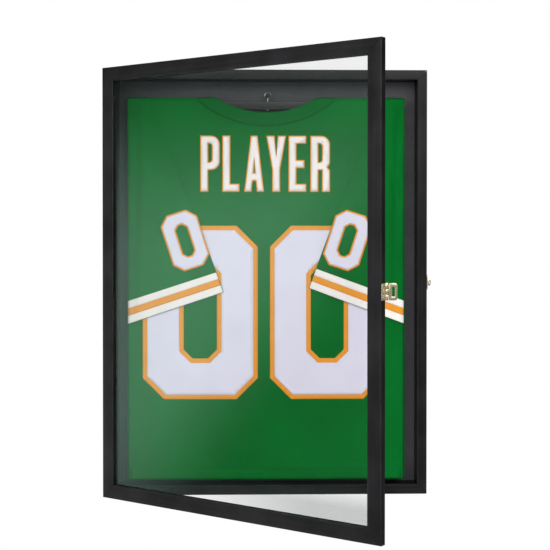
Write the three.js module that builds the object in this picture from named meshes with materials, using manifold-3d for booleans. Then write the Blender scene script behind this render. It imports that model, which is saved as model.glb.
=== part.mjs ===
// Wall-hung display frame for a sports shirt.
//
// A shallow timber case with a felt lining hangs on the wall. A glazed door is hinged on its left and closed
// by a hasp on its right. Inside, the shirt is threaded on a flat bar whose wire hook hangs on a peg.
//
// Millimetres. +X is the viewer's right, -Y is the front and +Z is up. The origin is the middle of the wall
// plane. The door stands open at DOOR_OPEN_DEG, and the hasp strap is swung out parallel to the wall.

import * as THREE from 'three';
import { mergeVertices } from 'three/addons/utils/BufferGeometryUtils.js';
import Module from 'manifold-3d';

const wasm = await Module();
wasm.setup();

// ---- Driving dimensions ----

const JOINT_GAP = 0.3; // between seated faces, and around a fastener in its hole
const FLUSH = 0.1; // a screw head sits this much below the face it is driven into

const CASE_WIDTH = 600;
const CASE_HEIGHT = 800;
const CASE_DEPTH = 45;
const WALL_FACE = 18; // timber seen from the front
const PANEL_THICKNESS = 3;
const FELT_THICKNESS = 1.2;
const REBATE_WIDTH = 6; // step behind the walls that takes the back panel
const EASED_EDGE = 1.2; // radius on the long edges of every stick of the case and door
const TACK_SPACING = 300;

const DOOR_FACE = 26;
const DOOR_THICKNESS = 13;
const DOOR_GAP = 1; // between the closed door and the case
const DOOR_OPEN_DEG = 37;
const LIP_WIDTH = 8; // how far the door frame overlaps the glazing
const LIP_DEPTH = 5;
const GLAZING_THICKNESS = 2;
const BEAD_RECESS = 0.4; // beads stop this short of the door's back

const HINGE_HEIGHT = 50;
const HINGE_SPREAD = 520; // between the middles of the two hinges
const LEAF_WIDTH = 16; // from the pin's axis
const LEAF_THICKNESS = 1;
const LEAF_GAP = 0.4; // between closed leaves
const BARREL_RADIUS = 2.5;
const HINGE_PIN_RADIUS = 1;
const PIN_HEAD = 0.8; // a pin's head is this much wider and this tall
const HINGE_KNUCKLES = 5;
const KNUCKLE_GAP = 0.4;
const HINGE_SCREW_SPACING = 30;

const HASP_HEIGHT = 27;
const HASP_SHEET = 1.2;
const HASP_PLATE_MARGIN = 0.5; // from the plate's edge to the door's front corner
const HASP_PLATE_CORNER = 2;
const HASP_BARREL_RADIUS = 2;
const HASP_PIN_RADIUS = 1;
const HASP_KNUCKLES = 3;
const STRAP_END = 4; // metal beyond the strap's slot
const STRAP_CORNER = 4;
const SLOT_CORNER = 1;
const HASP_SCREW_SPACING = 15;

const TAB_REACH = 9.5; // from the hasp pin's axis to the tab's, with the door closed
const TAB_HEIGHT = 13.5;
const TAB_THICKNESS = 1.6;
const TAB_PROJECTION = 8.6; // from the case's side
const TAB_SHOULDER = 0.8; // straight stretch of the tab before its round end
const TAB_NECK_RADIUS = 1.2;
const TAB_FLANGE_RADIUS = 3.2;
const TAB_FLANGE_THICKNESS = 1.2;
const TAB_HOLE_RADIUS = 1.3;
const TAB_CLEARANCE = 0.45; // around the tab as the strap swings over it
const STAPLE_PLATE_WIDTH = 13;
const STAPLE_PLATE_HEIGHT = 28;
const STAPLE_PLATE_THICKNESS = 1.5;
const STAPLE_SCREW_SPACING = 21;

const KEYHOLE_MARGIN = 0.8; // timber left beside the keyhole plate
const KEYHOLE_PLATE_HEIGHT = 44;
const KEYHOLE_PLATE_THICKNESS = 1.5;
const KEYHOLE_SCREW_SPACING = 36;
const KEYHOLE_ENTRY_RADIUS = 3.6;
const KEYHOLE_SLOT_WIDTH = 4.8;
const KEYHOLE_TRAVEL = 12; // from the entry's centre to the centre of the slot's end
const KEYHOLE_POCKET_DEPTH = 12;
const KEYHOLE_FROM_TOP = 48;

const PEG_RADIUS = 2;
const PEG_CAP_RADIUS = 3.2;
const PEG_CAP_LENGTH = 2;
const PEG_LENGTH = 33; // from the wall plane to the cap's front
const PEG_HEAD_RADIUS = 4;
const PEG_HEAD_HEIGHT = 1.5;
const PEG_FROM_TOP = 44.7;

const HOOK_WIRE_RADIUS = 1.2;
const HOOK_BEND_RADIUS = 5.3; // to the wire's centre
const HOOK_SWEEP_DEG = 285; // of the bend, from the neck round to the open end
const HOOK_NECK = 6.2; // from the bar's top to where the wire starts to bend
const HOOK_COLLAR_RADIUS = 3;
const HOOK_COLLAR_HEIGHT = 1.2;
const BAR_LENGTH = 520;
const BAR_HEIGHT = 15;
const BAR_THICKNESS = 8;
const BAR_DEPTH = 25; // from the wall plane to the bar's middle
const BAR_CORNER = 2;

const SHIRT_WIDTH = 526;
const SHIRT_LENGTH = 722;
const SHIRT_SHIFT = -3; // of the shirt's middle along the bar
const SHIRT_CLOTH = 2; // cloth in front of and behind the bar
const SHIRT_OVER_BAR = 5; // cloth above the bar
const SHIRT_SLACK = 2; // between the bar and the cloth around it
const SHIRT_HEM_THICKNESS = 8;
const SHIRT_TAPER = 30; // below the bar, where the shirt thins to its hem
const NECK_WIDTH = 190;
const NECK_DROP = 28;
const SLEEVE_THICKNESS = 4;
const SLEEVE_TOP_WIDTH = 41;
const SLEEVE_REACH = 182; // from the shirt's side to the sleeve's inner tip
const SLEEVE_DROP = 353; // from the shoulder to that tip
const CUFF_END_HEIGHT = 13;
const CUFF_INSET = 4;
const CUFF_RISE = 62; // the cuff's outer corner hangs this much below its inner one

// A countersunk fastener: head and shank radii, the head's height, the whole length and the recess's width.
const WOOD_SCREW = { head: 2.4, headHeight: 1.2, shank: 1.2, length: 10, recess: 2.6 };
const PLATE_SCREW = { head: 2.1, headHeight: 1.1, shank: 1, length: 9, recess: 2.3 };
const PANEL_TACK = { head: 2.2, headHeight: 0.8, shank: 0.8, length: 12, recess: 0 };
const RECESS_ARM = 0.55;
const RECESS_DEPTH = 0.6;

const ROUND_STEPS = 16; // sides of a round piece
const SCREW_STEPS = 12;
const CORNER_STEPS = 3; // half the facets of a rounded corner
const HOOK_STEPS = 22;

// ---- Derived places ----

const SIDE_X = CASE_WIDTH / 2;
const TOP_Z = CASE_HEIGHT / 2;
const INNER_X = SIDE_X - WALL_FACE;
const INNER_Z = TOP_Z - WALL_FACE;
const REBATE_DEPTH = PANEL_THICKNESS + FELT_THICKNESS + 2 * JOINT_GAP;
const HINGE_X = -SIDE_X - BARREL_RADIUS - JOINT_GAP;
const HINGE_Y = -CASE_DEPTH - DOOR_GAP / 2;
const DOOR_ANGLE = THREE.MathUtils.degToRad(DOOR_OPEN_DEG);

// The door is laid out from its hinge pin, with its width along +X and its front towards -Y.
const DOOR_LEFT = -SIDE_X - HINGE_X;
const DOOR_RIGHT = DOOR_LEFT + CASE_WIDTH;
const DOOR_BACK = -DOOR_GAP / 2;
const DOOR_FRONT = DOOR_BACK - DOOR_THICKNESS;
const DOOR_REBATE = DOOR_FACE - LIP_WIDTH; // timber outside the glazing
const GLAZING_FRONT = DOOR_FRONT + LIP_DEPTH + JOINT_GAP;
const BEAD_FRONT = GLAZING_FRONT + GLAZING_THICKNESS + JOINT_GAP;

// The strap folds flat over the staple plate, with its sheet's middle this far from the case's side.
const STRAP_OFFSET = STAPLE_PLATE_THICKNESS + 2 * JOINT_GAP + HASP_SHEET / 2;
const HASP_AXIS_X = DOOR_RIGHT + STRAP_OFFSET;
const TAB_Y = HINGE_Y + TAB_REACH;
const TAB_HEAD_START = STRAP_OFFSET + HASP_SHEET / 2 + TAB_CLEARANCE;
const SLOT_NEAR = TAB_REACH - Math.max(TAB_THICKNESS / 2, TAB_NECK_RADIUS) - TAB_CLEARANCE;
const SLOT_FAR = Math.hypot(TAB_PROJECTION - STRAP_OFFSET, TAB_REACH + TAB_THICKNESS / 2) + TAB_CLEARANCE;
const STRAP_LENGTH = SLOT_FAR + STRAP_END;

const KEYHOLE_LAND = WALL_FACE - REBATE_WIDTH; // timber left at the rear of a side wall
const KEYHOLE_X = SIDE_X - KEYHOLE_LAND / 2;
const KEYHOLE_Z = TOP_Z - KEYHOLE_FROM_TOP;

const PEG_Z = TOP_Z - PEG_FROM_TOP;
const HOOK_CENTRE_Z = PEG_Z + PEG_RADIUS + JOINT_GAP - (HOOK_BEND_RADIUS - HOOK_WIRE_RADIUS);
const BAR_TOP = HOOK_CENTRE_Z - HOOK_BEND_RADIUS - HOOK_NECK;
const BAR_BOTTOM = BAR_TOP - BAR_HEIGHT;
const CHANNEL_HALF = BAR_THICKNESS / 2 + SHIRT_SLACK;
const SHIRT_TOP = BAR_TOP + SHIRT_SLACK + SHIRT_OVER_BAR;
const SHIRT_BOTTOM = SHIRT_TOP - SHIRT_LENGTH;
const SHIRT_BACK = -BAR_DEPTH + CHANNEL_HALF + SHIRT_CLOTH;
const SHIRT_FRONT = -BAR_DEPTH - CHANNEL_HALF - SHIRT_CLOTH;

// ---- Solids ----

const AXIS_X = new THREE.Vector3(1, 0, 0);
const AXIS_Y = new THREE.Vector3(0, 1, 0);
const AXIS_Z = new THREE.Vector3(0, 0, 1);

/** Turns a closed three.js geometry into a solid that can be joined and cut. */
function solid(geometry) {
  const bare = geometry.clone();
  bare.deleteAttribute('normal');
  bare.deleteAttribute('uv');
  const merged = mergeVertices(bare, 1e-4);
  const corners = merged.index.array;
  const triangles = [];
  for (let i = 0; i < corners.length; i += 3) {
    const [a, b, c] = [corners[i], corners[i + 1], corners[i + 2]];
    if (a !== b && b !== c && c !== a) triangles.push(a, b, c);
  }
  return new wasm.Manifold(new wasm.Mesh({
    numProp: 3,
    vertProperties: new Float32Array(merged.attributes.position.array),
    triVerts: new Uint32Array(triangles),
  }));
}

/** Turns a solid back into a three.js geometry. */
function surface(body) {
  const mesh = body.getMesh();
  const geometry = new THREE.BufferGeometry();
  geometry.setAttribute('position', new THREE.BufferAttribute(new Float32Array(mesh.vertProperties), 3));
  geometry.setIndex(new THREE.BufferAttribute(new Uint32Array(mesh.triVerts), 1));
  geometry.computeVertexNormals();
  return geometry;
}

/** A box between two limits on each axis. */
function block([x0, x1], [y0, y1], [z0, z1]) {
  const geometry = new THREE.BoxGeometry(x1 - x0, y1 - y0, z1 - z0);
  geometry.translate((x0 + x1) / 2, (y0 + y1) / 2, (z0 + z1) / 2);
  return solid(geometry);
}

/** A round rod along an axis, between two distances from the point `at`. */
function rod(axis, radius, from, to, at = new THREE.Vector3()) {
  const geometry = new THREE.CylinderGeometry(radius, radius, to - from, ROUND_STEPS);
  geometry.translate(0, (from + to) / 2, 0);
  geometry.applyQuaternion(new THREE.Quaternion().setFromUnitVectors(AXIS_Y, axis));
  geometry.translate(at.x, at.y, at.z);
  return solid(geometry);
}

/** A turned piece: [radius, distance] pairs from the origin along `direction`, placed at `at`. */
function turned(profile, direction, at = new THREE.Vector3(), steps = ROUND_STEPS) {
  const points = profile.map(([radius, along]) => new THREE.Vector2(radius, -along)).reverse();
  const geometry = new THREE.LatheGeometry(points, steps);
  geometry.applyQuaternion(new THREE.Quaternion().setFromUnitVectors(AXIS_Y.clone().negate(), direction));
  geometry.translate(at.x, at.y, at.z);
  return solid(geometry);
}

/** An outline in X and Z with thickness from y0 to y1, its arcs cut into twice `steps` facets. */
function slab(shape, y0, y1, steps = CORNER_STEPS) {
  const geometry = new THREE.ExtrudeGeometry(
    shape, { depth: y1 - y0, bevelEnabled: false, curveSegments: steps });
  geometry.applyMatrix4(new THREE.Matrix4().makeBasis(AXIS_X, AXIS_Z, AXIS_Y.clone().negate()));
  geometry.translate(0, y1, 0);
  return solid(geometry);
}

/** A section in Y and Z drawn out from x0 to x1. */
function extrusion(shape, x0, x1) {
  const geometry = new THREE.ExtrudeGeometry(
    shape, { depth: x1 - x0, bevelEnabled: false, curveSegments: CORNER_STEPS });
  geometry.applyMatrix4(new THREE.Matrix4().makeBasis(AXIS_Y, AXIS_Z, AXIS_X));
  geometry.translate(x0, 0, 0);
  return solid(geometry);
}

/** An upright section in X and Y drawn out along Z, between -half and half. */
function upright(shape, half) {
  const geometry = new THREE.ExtrudeGeometry(
    shape, { depth: 2 * half, bevelEnabled: false, curveSegments: CORNER_STEPS });
  geometry.translate(0, 0, -half);
  return solid(geometry);
}

function polygon(points) {
  return new THREE.Shape(points.map(([x, y]) => new THREE.Vector2(x, y)));
}

/** A rectangle whose corners are arcs. */
function roundedRectangle([x0, x1], [y0, y1], radius) {
  const quarter = Math.PI / 2;
  const shape = new THREE.Shape();
  shape.absarc(x1 - radius, y0 + radius, radius, -quarter, 0);
  shape.absarc(x1 - radius, y1 - radius, radius, 0, quarter);
  shape.absarc(x0 + radius, y1 - radius, radius, quarter, 2 * quarter);
  shape.absarc(x0 + radius, y0 + radius, radius, 2 * quarter, 3 * quarter);
  return shape;
}

/** One stick of a mitred rectangular frame, as an outline in X and Z. */
function mitredStick(side, [left, right], top, face) {
  const mitre = JOINT_GAP / Math.SQRT2;
  const long = top - mitre;
  const short = long - face;
  const sticks = {
    left: [[left, -long], [left + face, -short], [left + face, short], [left, long]],
    right: [[right, -long], [right, long], [right - face, short], [right - face, -short]],
    top: [[left + mitre, top], [left + face + mitre, top - face],
      [right - face - mitre, top - face], [right - mitre, top]],
    bottom: [[left + mitre, -top], [right - mitre, -top],
      [right - face - mitre, face - top], [left + face + mitre, face - top]],
  };
  return polygon(sticks[side]);
}

/** A mitred stick with eased long edges: its outline is cut from a rounded bar of the same section. */
function easedStick(side, [left, right], top, face, [y0, y1]) {
  const prism = slab(mitredStick(side, [left, right], top, face), y0, y1);
  const spans = {
    left: [left, left + face], right: [right - face, right], top: [top - face, top], bottom: [-top, face - top],
  };
  const bar = side === 'left' || side === 'right'
    ? upright(roundedRectangle(spans[side], [y0, y1], EASED_EDGE), top)
    : extrusion(roundedRectangle([y0, y1], spans[side], EASED_EDGE), left, right);
  return prism.intersect(bar);
}

/** A countersunk fastener, or with a gap the hole that it goes into. */
function fastener(kind, direction, at, gap = 0) {
  const above = gap > 0 ? -1 : 0;
  const head = kind.head + gap;
  const shank = kind.shank + gap;
  return turned([
    [0, above],
    [head, above],
    [head, kind.headHeight / 4 + gap],
    [shank, kind.headHeight + gap],
    [shank, kind.length - 2 * kind.shank + gap],
    [0, kind.length + gap],
  ], direction, at, SCREW_STEPS);
}

/** A screw with a cross recess in its head. */
function screw(kind, direction) {
  const body = fastener(kind, direction, new THREE.Vector3());
  if (!kind.recess) return body;
  const turn = new THREE.Quaternion().setFromUnitVectors(AXIS_Y, direction);
  const arms = [[kind.recess, RECESS_ARM], [RECESS_ARM, kind.recess]].map(([width, height]) => {
    const arm = new THREE.BoxGeometry(width, 2 * RECESS_DEPTH, height);
    return solid(arm.applyQuaternion(turn));
  });
  return arms.reduce((cut, arm) => cut.subtract(arm), body);
}

function drill(body, fasteners) {
  return fasteners.reduce(
    (cut, each) => cut.subtract(fastener(each.kind, each.direction, each.at, JOINT_GAP)), body);
}

// ---- Materials ----

const finish = {
  timber: { color: 0x262529, roughness: 0.42, metalness: 0 },
  board: { color: 0x5e4a38, roughness: 0.85, metalness: 0 },
  felt: { color: 0x323135, roughness: 0.97, metalness: 0 },
  glazing: { color: 0xdfe6e6, roughness: 0.05, metalness: 0, transparent: true, opacity: 0.2 },
  agedBrass: { color: 0x9a8c6a, roughness: 0.38, metalness: 0.9 },
  steel: { color: 0x9b9b9d, roughness: 0.35, metalness: 0.9 },
  darkSteel: { color: 0x3a3a3c, roughness: 0.45, metalness: 0.8 },
  bar: { color: 0x1f1c1d, roughness: 0.5, metalness: 0 },
  shirt: { color: 0x066a26, roughness: 0.85, metalness: 0 },
};

function add(parent, name, look, body, at = new THREE.Vector3()) {
  const mesh = new THREE.Mesh(surface(body), new THREE.MeshStandardMaterial(finish[look]));
  mesh.name = name;
  mesh.position.copy(at);
  parent.add(mesh);
}

function addFasteners(parent, look, fasteners) {
  for (const each of fasteners) {
    add(parent, each.name, look, screw(each.kind, each.direction), each.at);
  }
}

// ---- Where the fasteners go ----

const HINGES = [['upper', HINGE_SPREAD / 2], ['lower', -HINGE_SPREAD / 2]];
const ENDS = [['upper', 1], ['lower', -1]];
const SIDES = [['left', -1], ['right', 1]];

/** Screws through one leaf of both hinges, into the case or into the door, from a leaf's pin at (x, y). */
function leafScrews(owner, inward, x, y) {
  const along = x + (DOOR_LEFT + LEAF_WIDTH) / 2;
  const face = y + inward * (LEAF_GAP / 2 + FLUSH);
  return HINGES.flatMap(([hinge, z]) => ENDS.map(([end, up]) => ({
    name: `${hinge}_hinge_${owner}_screw_${end}`,
    kind: WOOD_SCREW,
    direction: new THREE.Vector3(0, inward, 0),
    at: new THREE.Vector3(along, face, z + up * HINGE_SCREW_SPACING / 2),
  })));
}

/** A pair of screws driven towards -X through a plate whose outer face is at x. */
function sideScrews(owner, x, y, spacing) {
  return ENDS.map(([end, up]) => ({
    name: `${owner}_screw_${end}`,
    kind: PLATE_SCREW,
    direction: new THREE.Vector3(-1, 0, 0),
    at: new THREE.Vector3(x - FLUSH, y, up * spacing / 2),
  }));
}

const caseLeafScrews = leafScrews('case', 1, HINGE_X, HINGE_Y);
const doorLeafScrews = leafScrews('door', -1, 0, 0);
const stapleScrews = sideScrews(
  'staple', SIDE_X + JOINT_GAP + STAPLE_PLATE_THICKNESS, TAB_Y, STAPLE_SCREW_SPACING);
const haspScrews = sideScrews(
  'hasp', DOOR_RIGHT + JOINT_GAP + HASP_SHEET, (DOOR_BACK + DOOR_FRONT) / 2, HASP_SCREW_SPACING);
const keyholeScrews = SIDES.flatMap(([side, s]) => ENDS.map(([end, up]) => ({
  name: `${side}_keyhole_screw_${end}`,
  kind: PLATE_SCREW,
  direction: new THREE.Vector3(0, -1, 0),
  at: new THREE.Vector3(s * KEYHOLE_X, -FLUSH, KEYHOLE_Z + up * KEYHOLE_SCREW_SPACING / 2),
})));
const panelTacks = SIDES.flatMap(([side, s]) => [['top', 1], ['middle', 0], ['bottom', -1]].map(
  ([end, up]) => ({
    name: `${side}_panel_tack_${end}`,
    kind: PANEL_TACK,
    direction: new THREE.Vector3(0, -1, 0),
    at: new THREE.Vector3(s * (INNER_X + REBATE_WIDTH / 2), -FLUSH, up * TACK_SPACING),
  })));

// ---- The case ----

/** The recess for one leaf in each hinge place, on the case's front or the door's back. */
function cutHingeMortises(body, x, [y0, y1]) {
  return HINGES.reduce((cut, [, z]) => cut.subtract(block(
    [x + DOOR_LEFT - 1, x + LEAF_WIDTH + JOINT_GAP],
    [y0, y1],
    [z - HINGE_HEIGHT / 2 - JOINT_GAP, z + HINGE_HEIGHT / 2 + JOINT_GAP],
  )), body);
}

/** A keyhole plate's recess in a side wall, with the deeper pocket that the wall screw's head enters. */
function cutKeyholeRecess(body, x) {
  const halfWidth = (KEYHOLE_LAND - 2 * KEYHOLE_MARGIN) / 2 + JOINT_GAP;
  const halfHeight = KEYHOLE_PLATE_HEIGHT / 2 + JOINT_GAP;
  const pocket = KEYHOLE_ENTRY_RADIUS + JOINT_GAP;
  const reach = KEYHOLE_TRAVEL / 2 + pocket;
  return body
    .subtract(block([x - halfWidth, x + halfWidth], [-KEYHOLE_PLATE_THICKNESS - JOINT_GAP, 1],
      [KEYHOLE_Z - halfHeight, KEYHOLE_Z + halfHeight]))
    .subtract(block([x - pocket, x + pocket], [-KEYHOLE_POCKET_DEPTH, 0],
      [KEYHOLE_Z - reach, KEYHOLE_Z + reach]));
}

function caseWall(side) {
  const rebateX = INNER_X + REBATE_WIDTH;
  const rebateZ = INNER_Z + REBATE_WIDTH;
  let wall = easedStick(side, [-SIDE_X, SIDE_X], TOP_Z, WALL_FACE, [-CASE_DEPTH, 0])
    .subtract(block([-rebateX, rebateX], [-REBATE_DEPTH, 1], [-rebateZ, rebateZ]));
  if (side === 'left' || side === 'right') {
    const x = side === 'left' ? -KEYHOLE_X : KEYHOLE_X;
    wall = drill(cutKeyholeRecess(wall, x), keyholeScrews.filter((each) => each.name.startsWith(side)));
    wall = drill(wall, panelTacks.filter((each) => each.name.startsWith(side)));
  }
  if (side === 'left') {
    const floor = HINGE_Y + LEAF_GAP / 2 + LEAF_THICKNESS + JOINT_GAP;
    wall = drill(cutHingeMortises(wall, HINGE_X, [-CASE_DEPTH - 1, floor]), caseLeafScrews);
  }
  if (side === 'right') {
    const pocket = rod(AXIS_X, TAB_FLANGE_RADIUS + JOINT_GAP, -TAB_FLANGE_THICKNESS - JOINT_GAP, 1,
      new THREE.Vector3(SIDE_X, TAB_Y, 0));
    wall = drill(wall.subtract(pocket), stapleScrews);
  }
  return wall;
}

/** A sheet that fills the rear rebate between two depths, with holes for the tacks and the peg. */
function rearSheet(y0, y1) {
  const x = INNER_X + REBATE_WIDTH - JOINT_GAP;
  const z = INNER_Z + REBATE_WIDTH - JOINT_GAP;
  return drill(block([-x, x], [y0, y1], [-z, z]), panelTacks).subtract(pegSolid(JOINT_GAP));
}

/** The peg: flush head behind the panel, shaft through panel and felt, and a cap that keeps the hook on. */
function pegSolid(gap = 0) {
  const above = gap > 0 ? -1 : FLUSH;
  return turned([
    [0, above],
    [PEG_HEAD_RADIUS + gap, above],
    [PEG_HEAD_RADIUS + gap, FLUSH + PEG_HEAD_HEIGHT / 4 + gap],
    [PEG_RADIUS + gap, FLUSH + PEG_HEAD_HEIGHT + gap],
    [PEG_RADIUS + gap, PEG_LENGTH - PEG_CAP_LENGTH],
    [PEG_CAP_RADIUS + gap, PEG_LENGTH - PEG_CAP_LENGTH],
    [PEG_CAP_RADIUS + gap, PEG_LENGTH - PEG_CAP_LENGTH / 3],
    [PEG_CAP_RADIUS * 2 / 3 + gap, PEG_LENGTH],
    [0, PEG_LENGTH],
  ], AXIS_Y.clone().negate(), new THREE.Vector3(0, 0, PEG_Z));
}

function keyholePlate(side, s) {
  const x = s * KEYHOLE_X;
  const halfWidth = (KEYHOLE_LAND - 2 * KEYHOLE_MARGIN) / 2;
  const halfHeight = KEYHOLE_PLATE_HEIGHT / 2;
  const outline = roundedRectangle([x - halfWidth, x + halfWidth],
    [KEYHOLE_Z - halfHeight, KEYHOLE_Z + halfHeight], halfWidth / 3);
  const entryZ = KEYHOLE_Z - KEYHOLE_TRAVEL / 2;
  const slotEndZ = KEYHOLE_Z + KEYHOLE_TRAVEL / 2;
  const through = [-KEYHOLE_PLATE_THICKNESS - 1, 1];
  const plate = slab(outline, -KEYHOLE_PLATE_THICKNESS, 0)
    .subtract(rod(AXIS_Y, KEYHOLE_ENTRY_RADIUS, ...through, new THREE.Vector3(x, 0, entryZ)))
    .subtract(rod(AXIS_Y, KEYHOLE_SLOT_WIDTH / 2, ...through, new THREE.Vector3(x, 0, slotEndZ)))
    .subtract(block([x - KEYHOLE_SLOT_WIDTH / 2, x + KEYHOLE_SLOT_WIDTH / 2], through, [entryZ, slotEndZ]));
  return drill(plate, keyholeScrews.filter((each) => each.name.startsWith(side)));
}

// ---- Hinges ----

/** Places of the knuckles that one leaf owns: every other one, from the `first`. */
function knuckles(height, count, first) {
  const pitch = (height + KNUCKLE_GAP) / count;
  const spans = [];
  for (let i = first; i < count; i += 2) {
    const low = -height / 2 + i * pitch;
    spans.push([low, low + pitch - KNUCKLE_GAP]);
  }
  return spans;
}

/** Adds barrels to a leaf for its own knuckles, and clears the room of the other leaf's and of the pin. */
function withKnuckles(leaf, own, others, barrel, pin) {
  const room = barrel + JOINT_GAP;
  const cleared = others.reduce((cut, [low, high]) => cut.subtract(
    block([-room, room], [-room, room], [low - KNUCKLE_GAP, high + KNUCKLE_GAP])), leaf);
  const barrels = own.reduce((sum, [low, high]) => sum.add(rod(AXIS_Z, barrel, low, high)), cleared);
  return barrels.subtract(rod(AXIS_Z, pin + JOINT_GAP, -HINGE_HEIGHT, HINGE_HEIGHT));
}

/** A leaf of the door hinges, from the pin at the origin: `inward` is +1 for the case's and -1 for the door's. */
function hingeLeaf(inward) {
  const own = knuckles(HINGE_HEIGHT, HINGE_KNUCKLES, inward > 0 ? 0 : 1);
  const others = knuckles(HINGE_HEIGHT, HINGE_KNUCKLES, inward > 0 ? 1 : 0);
  const faces = [inward * LEAF_GAP / 2, inward * (LEAF_GAP / 2 + LEAF_THICKNESS)].sort((a, b) => a - b);
  const plate = block([0, LEAF_WIDTH], faces, [-HINGE_HEIGHT / 2, HINGE_HEIGHT / 2]);
  const screws = leafScrews('any', inward, 0, 0)
    .slice(0, ENDS.length)
    .map((each) => ({ ...each, at: each.at.clone().setZ(each.at.z - HINGES[0][1]) }));
  return drill(withKnuckles(plate, own, others, BARREL_RADIUS, HINGE_PIN_RADIUS), screws);
}

/** A plain pin with a flat head that rests above the top knuckle. */
function headedPin(radius, height) {
  const top = height / 2 + JOINT_GAP;
  return rod(AXIS_Z, radius, -height / 2, top + PIN_HEAD / 2)
    .add(rod(AXIS_Z, radius + PIN_HEAD, top, top + PIN_HEAD));
}

// ---- The door ----

function doorStick(side) {
  const rebateZ = TOP_Z - DOOR_REBATE;
  let stick = easedStick(side, [DOOR_LEFT, DOOR_RIGHT], TOP_Z, DOOR_FACE, [DOOR_FRONT, DOOR_BACK])
    .subtract(block([DOOR_LEFT + DOOR_REBATE, DOOR_RIGHT - DOOR_REBATE],
      [DOOR_FRONT + LIP_DEPTH, DOOR_BACK + 1], [-rebateZ, rebateZ]));
  if (side === 'left') {
    const floor = -LEAF_GAP / 2 - LEAF_THICKNESS - JOINT_GAP;
    stick = drill(cutHingeMortises(stick, 0, [floor, DOOR_BACK + 1]), doorLeafScrews);
  }
  if (side === 'right') stick = drill(stick, haspScrews);
  return stick;
}

function glazing() {
  const inset = DOOR_REBATE + JOINT_GAP;
  return block([DOOR_LEFT + inset, DOOR_RIGHT - inset],
    [GLAZING_FRONT, GLAZING_FRONT + GLAZING_THICKNESS], [inset - TOP_Z, TOP_Z - inset]);
}

function bead(side) {
  const inset = DOOR_REBATE + JOINT_GAP;
  const outline = mitredStick(side, [DOOR_LEFT + inset, DOOR_RIGHT - inset], TOP_Z - inset,
    LIP_WIDTH - 2 * JOINT_GAP);
  return slab(outline, BEAD_FRONT, DOOR_BACK - BEAD_RECESS);
}

// ---- The hasp and its staple ----

/** The plate on the door's edge, from the hasp pin at the origin. */
function haspPlate() {
  const inner = JOINT_GAP - STRAP_OFFSET;
  const outline = roundedRectangle([DOOR_FRONT + HASP_PLATE_MARGIN, 0], [-HASP_HEIGHT / 2, HASP_HEIGHT / 2],
    HASP_PLATE_CORNER);
  const own = knuckles(HASP_HEIGHT, HASP_KNUCKLES, 0);
  const others = knuckles(HASP_HEIGHT, HASP_KNUCKLES, 1);
  const plate = withKnuckles(extrusion(outline, inner, inner + HASP_SHEET), own, others,
    HASP_BARREL_RADIUS, HASP_PIN_RADIUS);
  const shift = new THREE.Vector3(-HASP_AXIS_X, 0, 0);
  return drill(plate, haspScrews.map((each) => ({ ...each, at: each.at.clone().add(shift) })));
}

/** The strap, from the hasp pin at the origin along +X, with the slot that passes over the staple's tab. */
function haspStrap() {
  const half = HASP_HEIGHT / 2;
  const start = HASP_BARREL_RADIUS + 2 * JOINT_GAP;
  const outline = new THREE.Shape();
  outline.moveTo(start, -half);
  outline.lineTo(STRAP_LENGTH - STRAP_CORNER, -half);
  outline.absarc(STRAP_LENGTH - STRAP_CORNER, -half + STRAP_CORNER, STRAP_CORNER, -Math.PI / 2, 0);
  outline.absarc(STRAP_LENGTH - STRAP_CORNER, half - STRAP_CORNER, STRAP_CORNER, 0, Math.PI / 2);
  outline.lineTo(start, half);
  const slotHalf = TAB_HEIGHT / 2 + 2 * TAB_CLEARANCE;
  outline.holes.push(roundedRectangle([SLOT_NEAR, SLOT_FAR], [-slotHalf, slotHalf], SLOT_CORNER));
  const [[low, high]] = knuckles(HASP_HEIGHT, HASP_KNUCKLES, 1);
  return slab(outline, -HASP_SHEET / 2, HASP_SHEET / 2)
    .add(block([0, start + HASP_SHEET], [-HASP_SHEET / 2, HASP_SHEET / 2], [low, high]))
    .add(rod(AXIS_Z, HASP_BARREL_RADIUS, low, high))
    .subtract(rod(AXIS_Z, HASP_PIN_RADIUS + JOINT_GAP, -HASP_HEIGHT, HASP_HEIGHT));
}

/** The plate on the case's side, which the turning tab is riveted through. */
function staplePlate() {
  const outline = roundedRectangle([TAB_Y - STAPLE_PLATE_WIDTH / 2, TAB_Y + STAPLE_PLATE_WIDTH / 2],
    [-STAPLE_PLATE_HEIGHT / 2, STAPLE_PLATE_HEIGHT / 2], STAPLE_PLATE_WIDTH / 4);
  const inner = SIDE_X + JOINT_GAP;
  const hole = rod(AXIS_X, TAB_NECK_RADIUS + JOINT_GAP, -1, STAPLE_PLATE_THICKNESS + 1,
    new THREE.Vector3(inner, TAB_Y, 0));
  return drill(extrusion(outline, inner, inner + STAPLE_PLATE_THICKNESS).subtract(hole), stapleScrews);
}

/** The tab, from the case's side at the origin: riveted flange, round neck and a D-shaped head. */
function stapleTab() {
  const straight = TAB_HEAD_START + TAB_SHOULDER;
  const quarter = Math.PI / 2;
  const head = new THREE.Shape();
  head.moveTo(TAB_HEAD_START, -TAB_HEIGHT / 2);
  head.lineTo(straight, -TAB_HEIGHT / 2);
  head.absellipse(straight, 0, TAB_PROJECTION - straight, TAB_HEIGHT / 2, -quarter, quarter);
  head.lineTo(TAB_HEAD_START, TAB_HEIGHT / 2);
  const padlockHole = new THREE.Path();
  const holeX = (TAB_HEAD_START + TAB_PROJECTION) / 2;
  padlockHole.absarc(holeX, 0, TAB_HOLE_RADIUS, 0, 2 * Math.PI);
  head.holes.push(padlockHole);
  return slab(head, -TAB_THICKNESS / 2, TAB_THICKNESS / 2, ROUND_STEPS / 2)
    .add(rod(AXIS_X, TAB_NECK_RADIUS, -TAB_FLANGE_THICKNESS / 2, TAB_HEAD_START + TAB_SHOULDER / 2))
    .add(rod(AXIS_X, TAB_FLANGE_RADIUS, -TAB_FLANGE_THICKNESS, 0));
}

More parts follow.
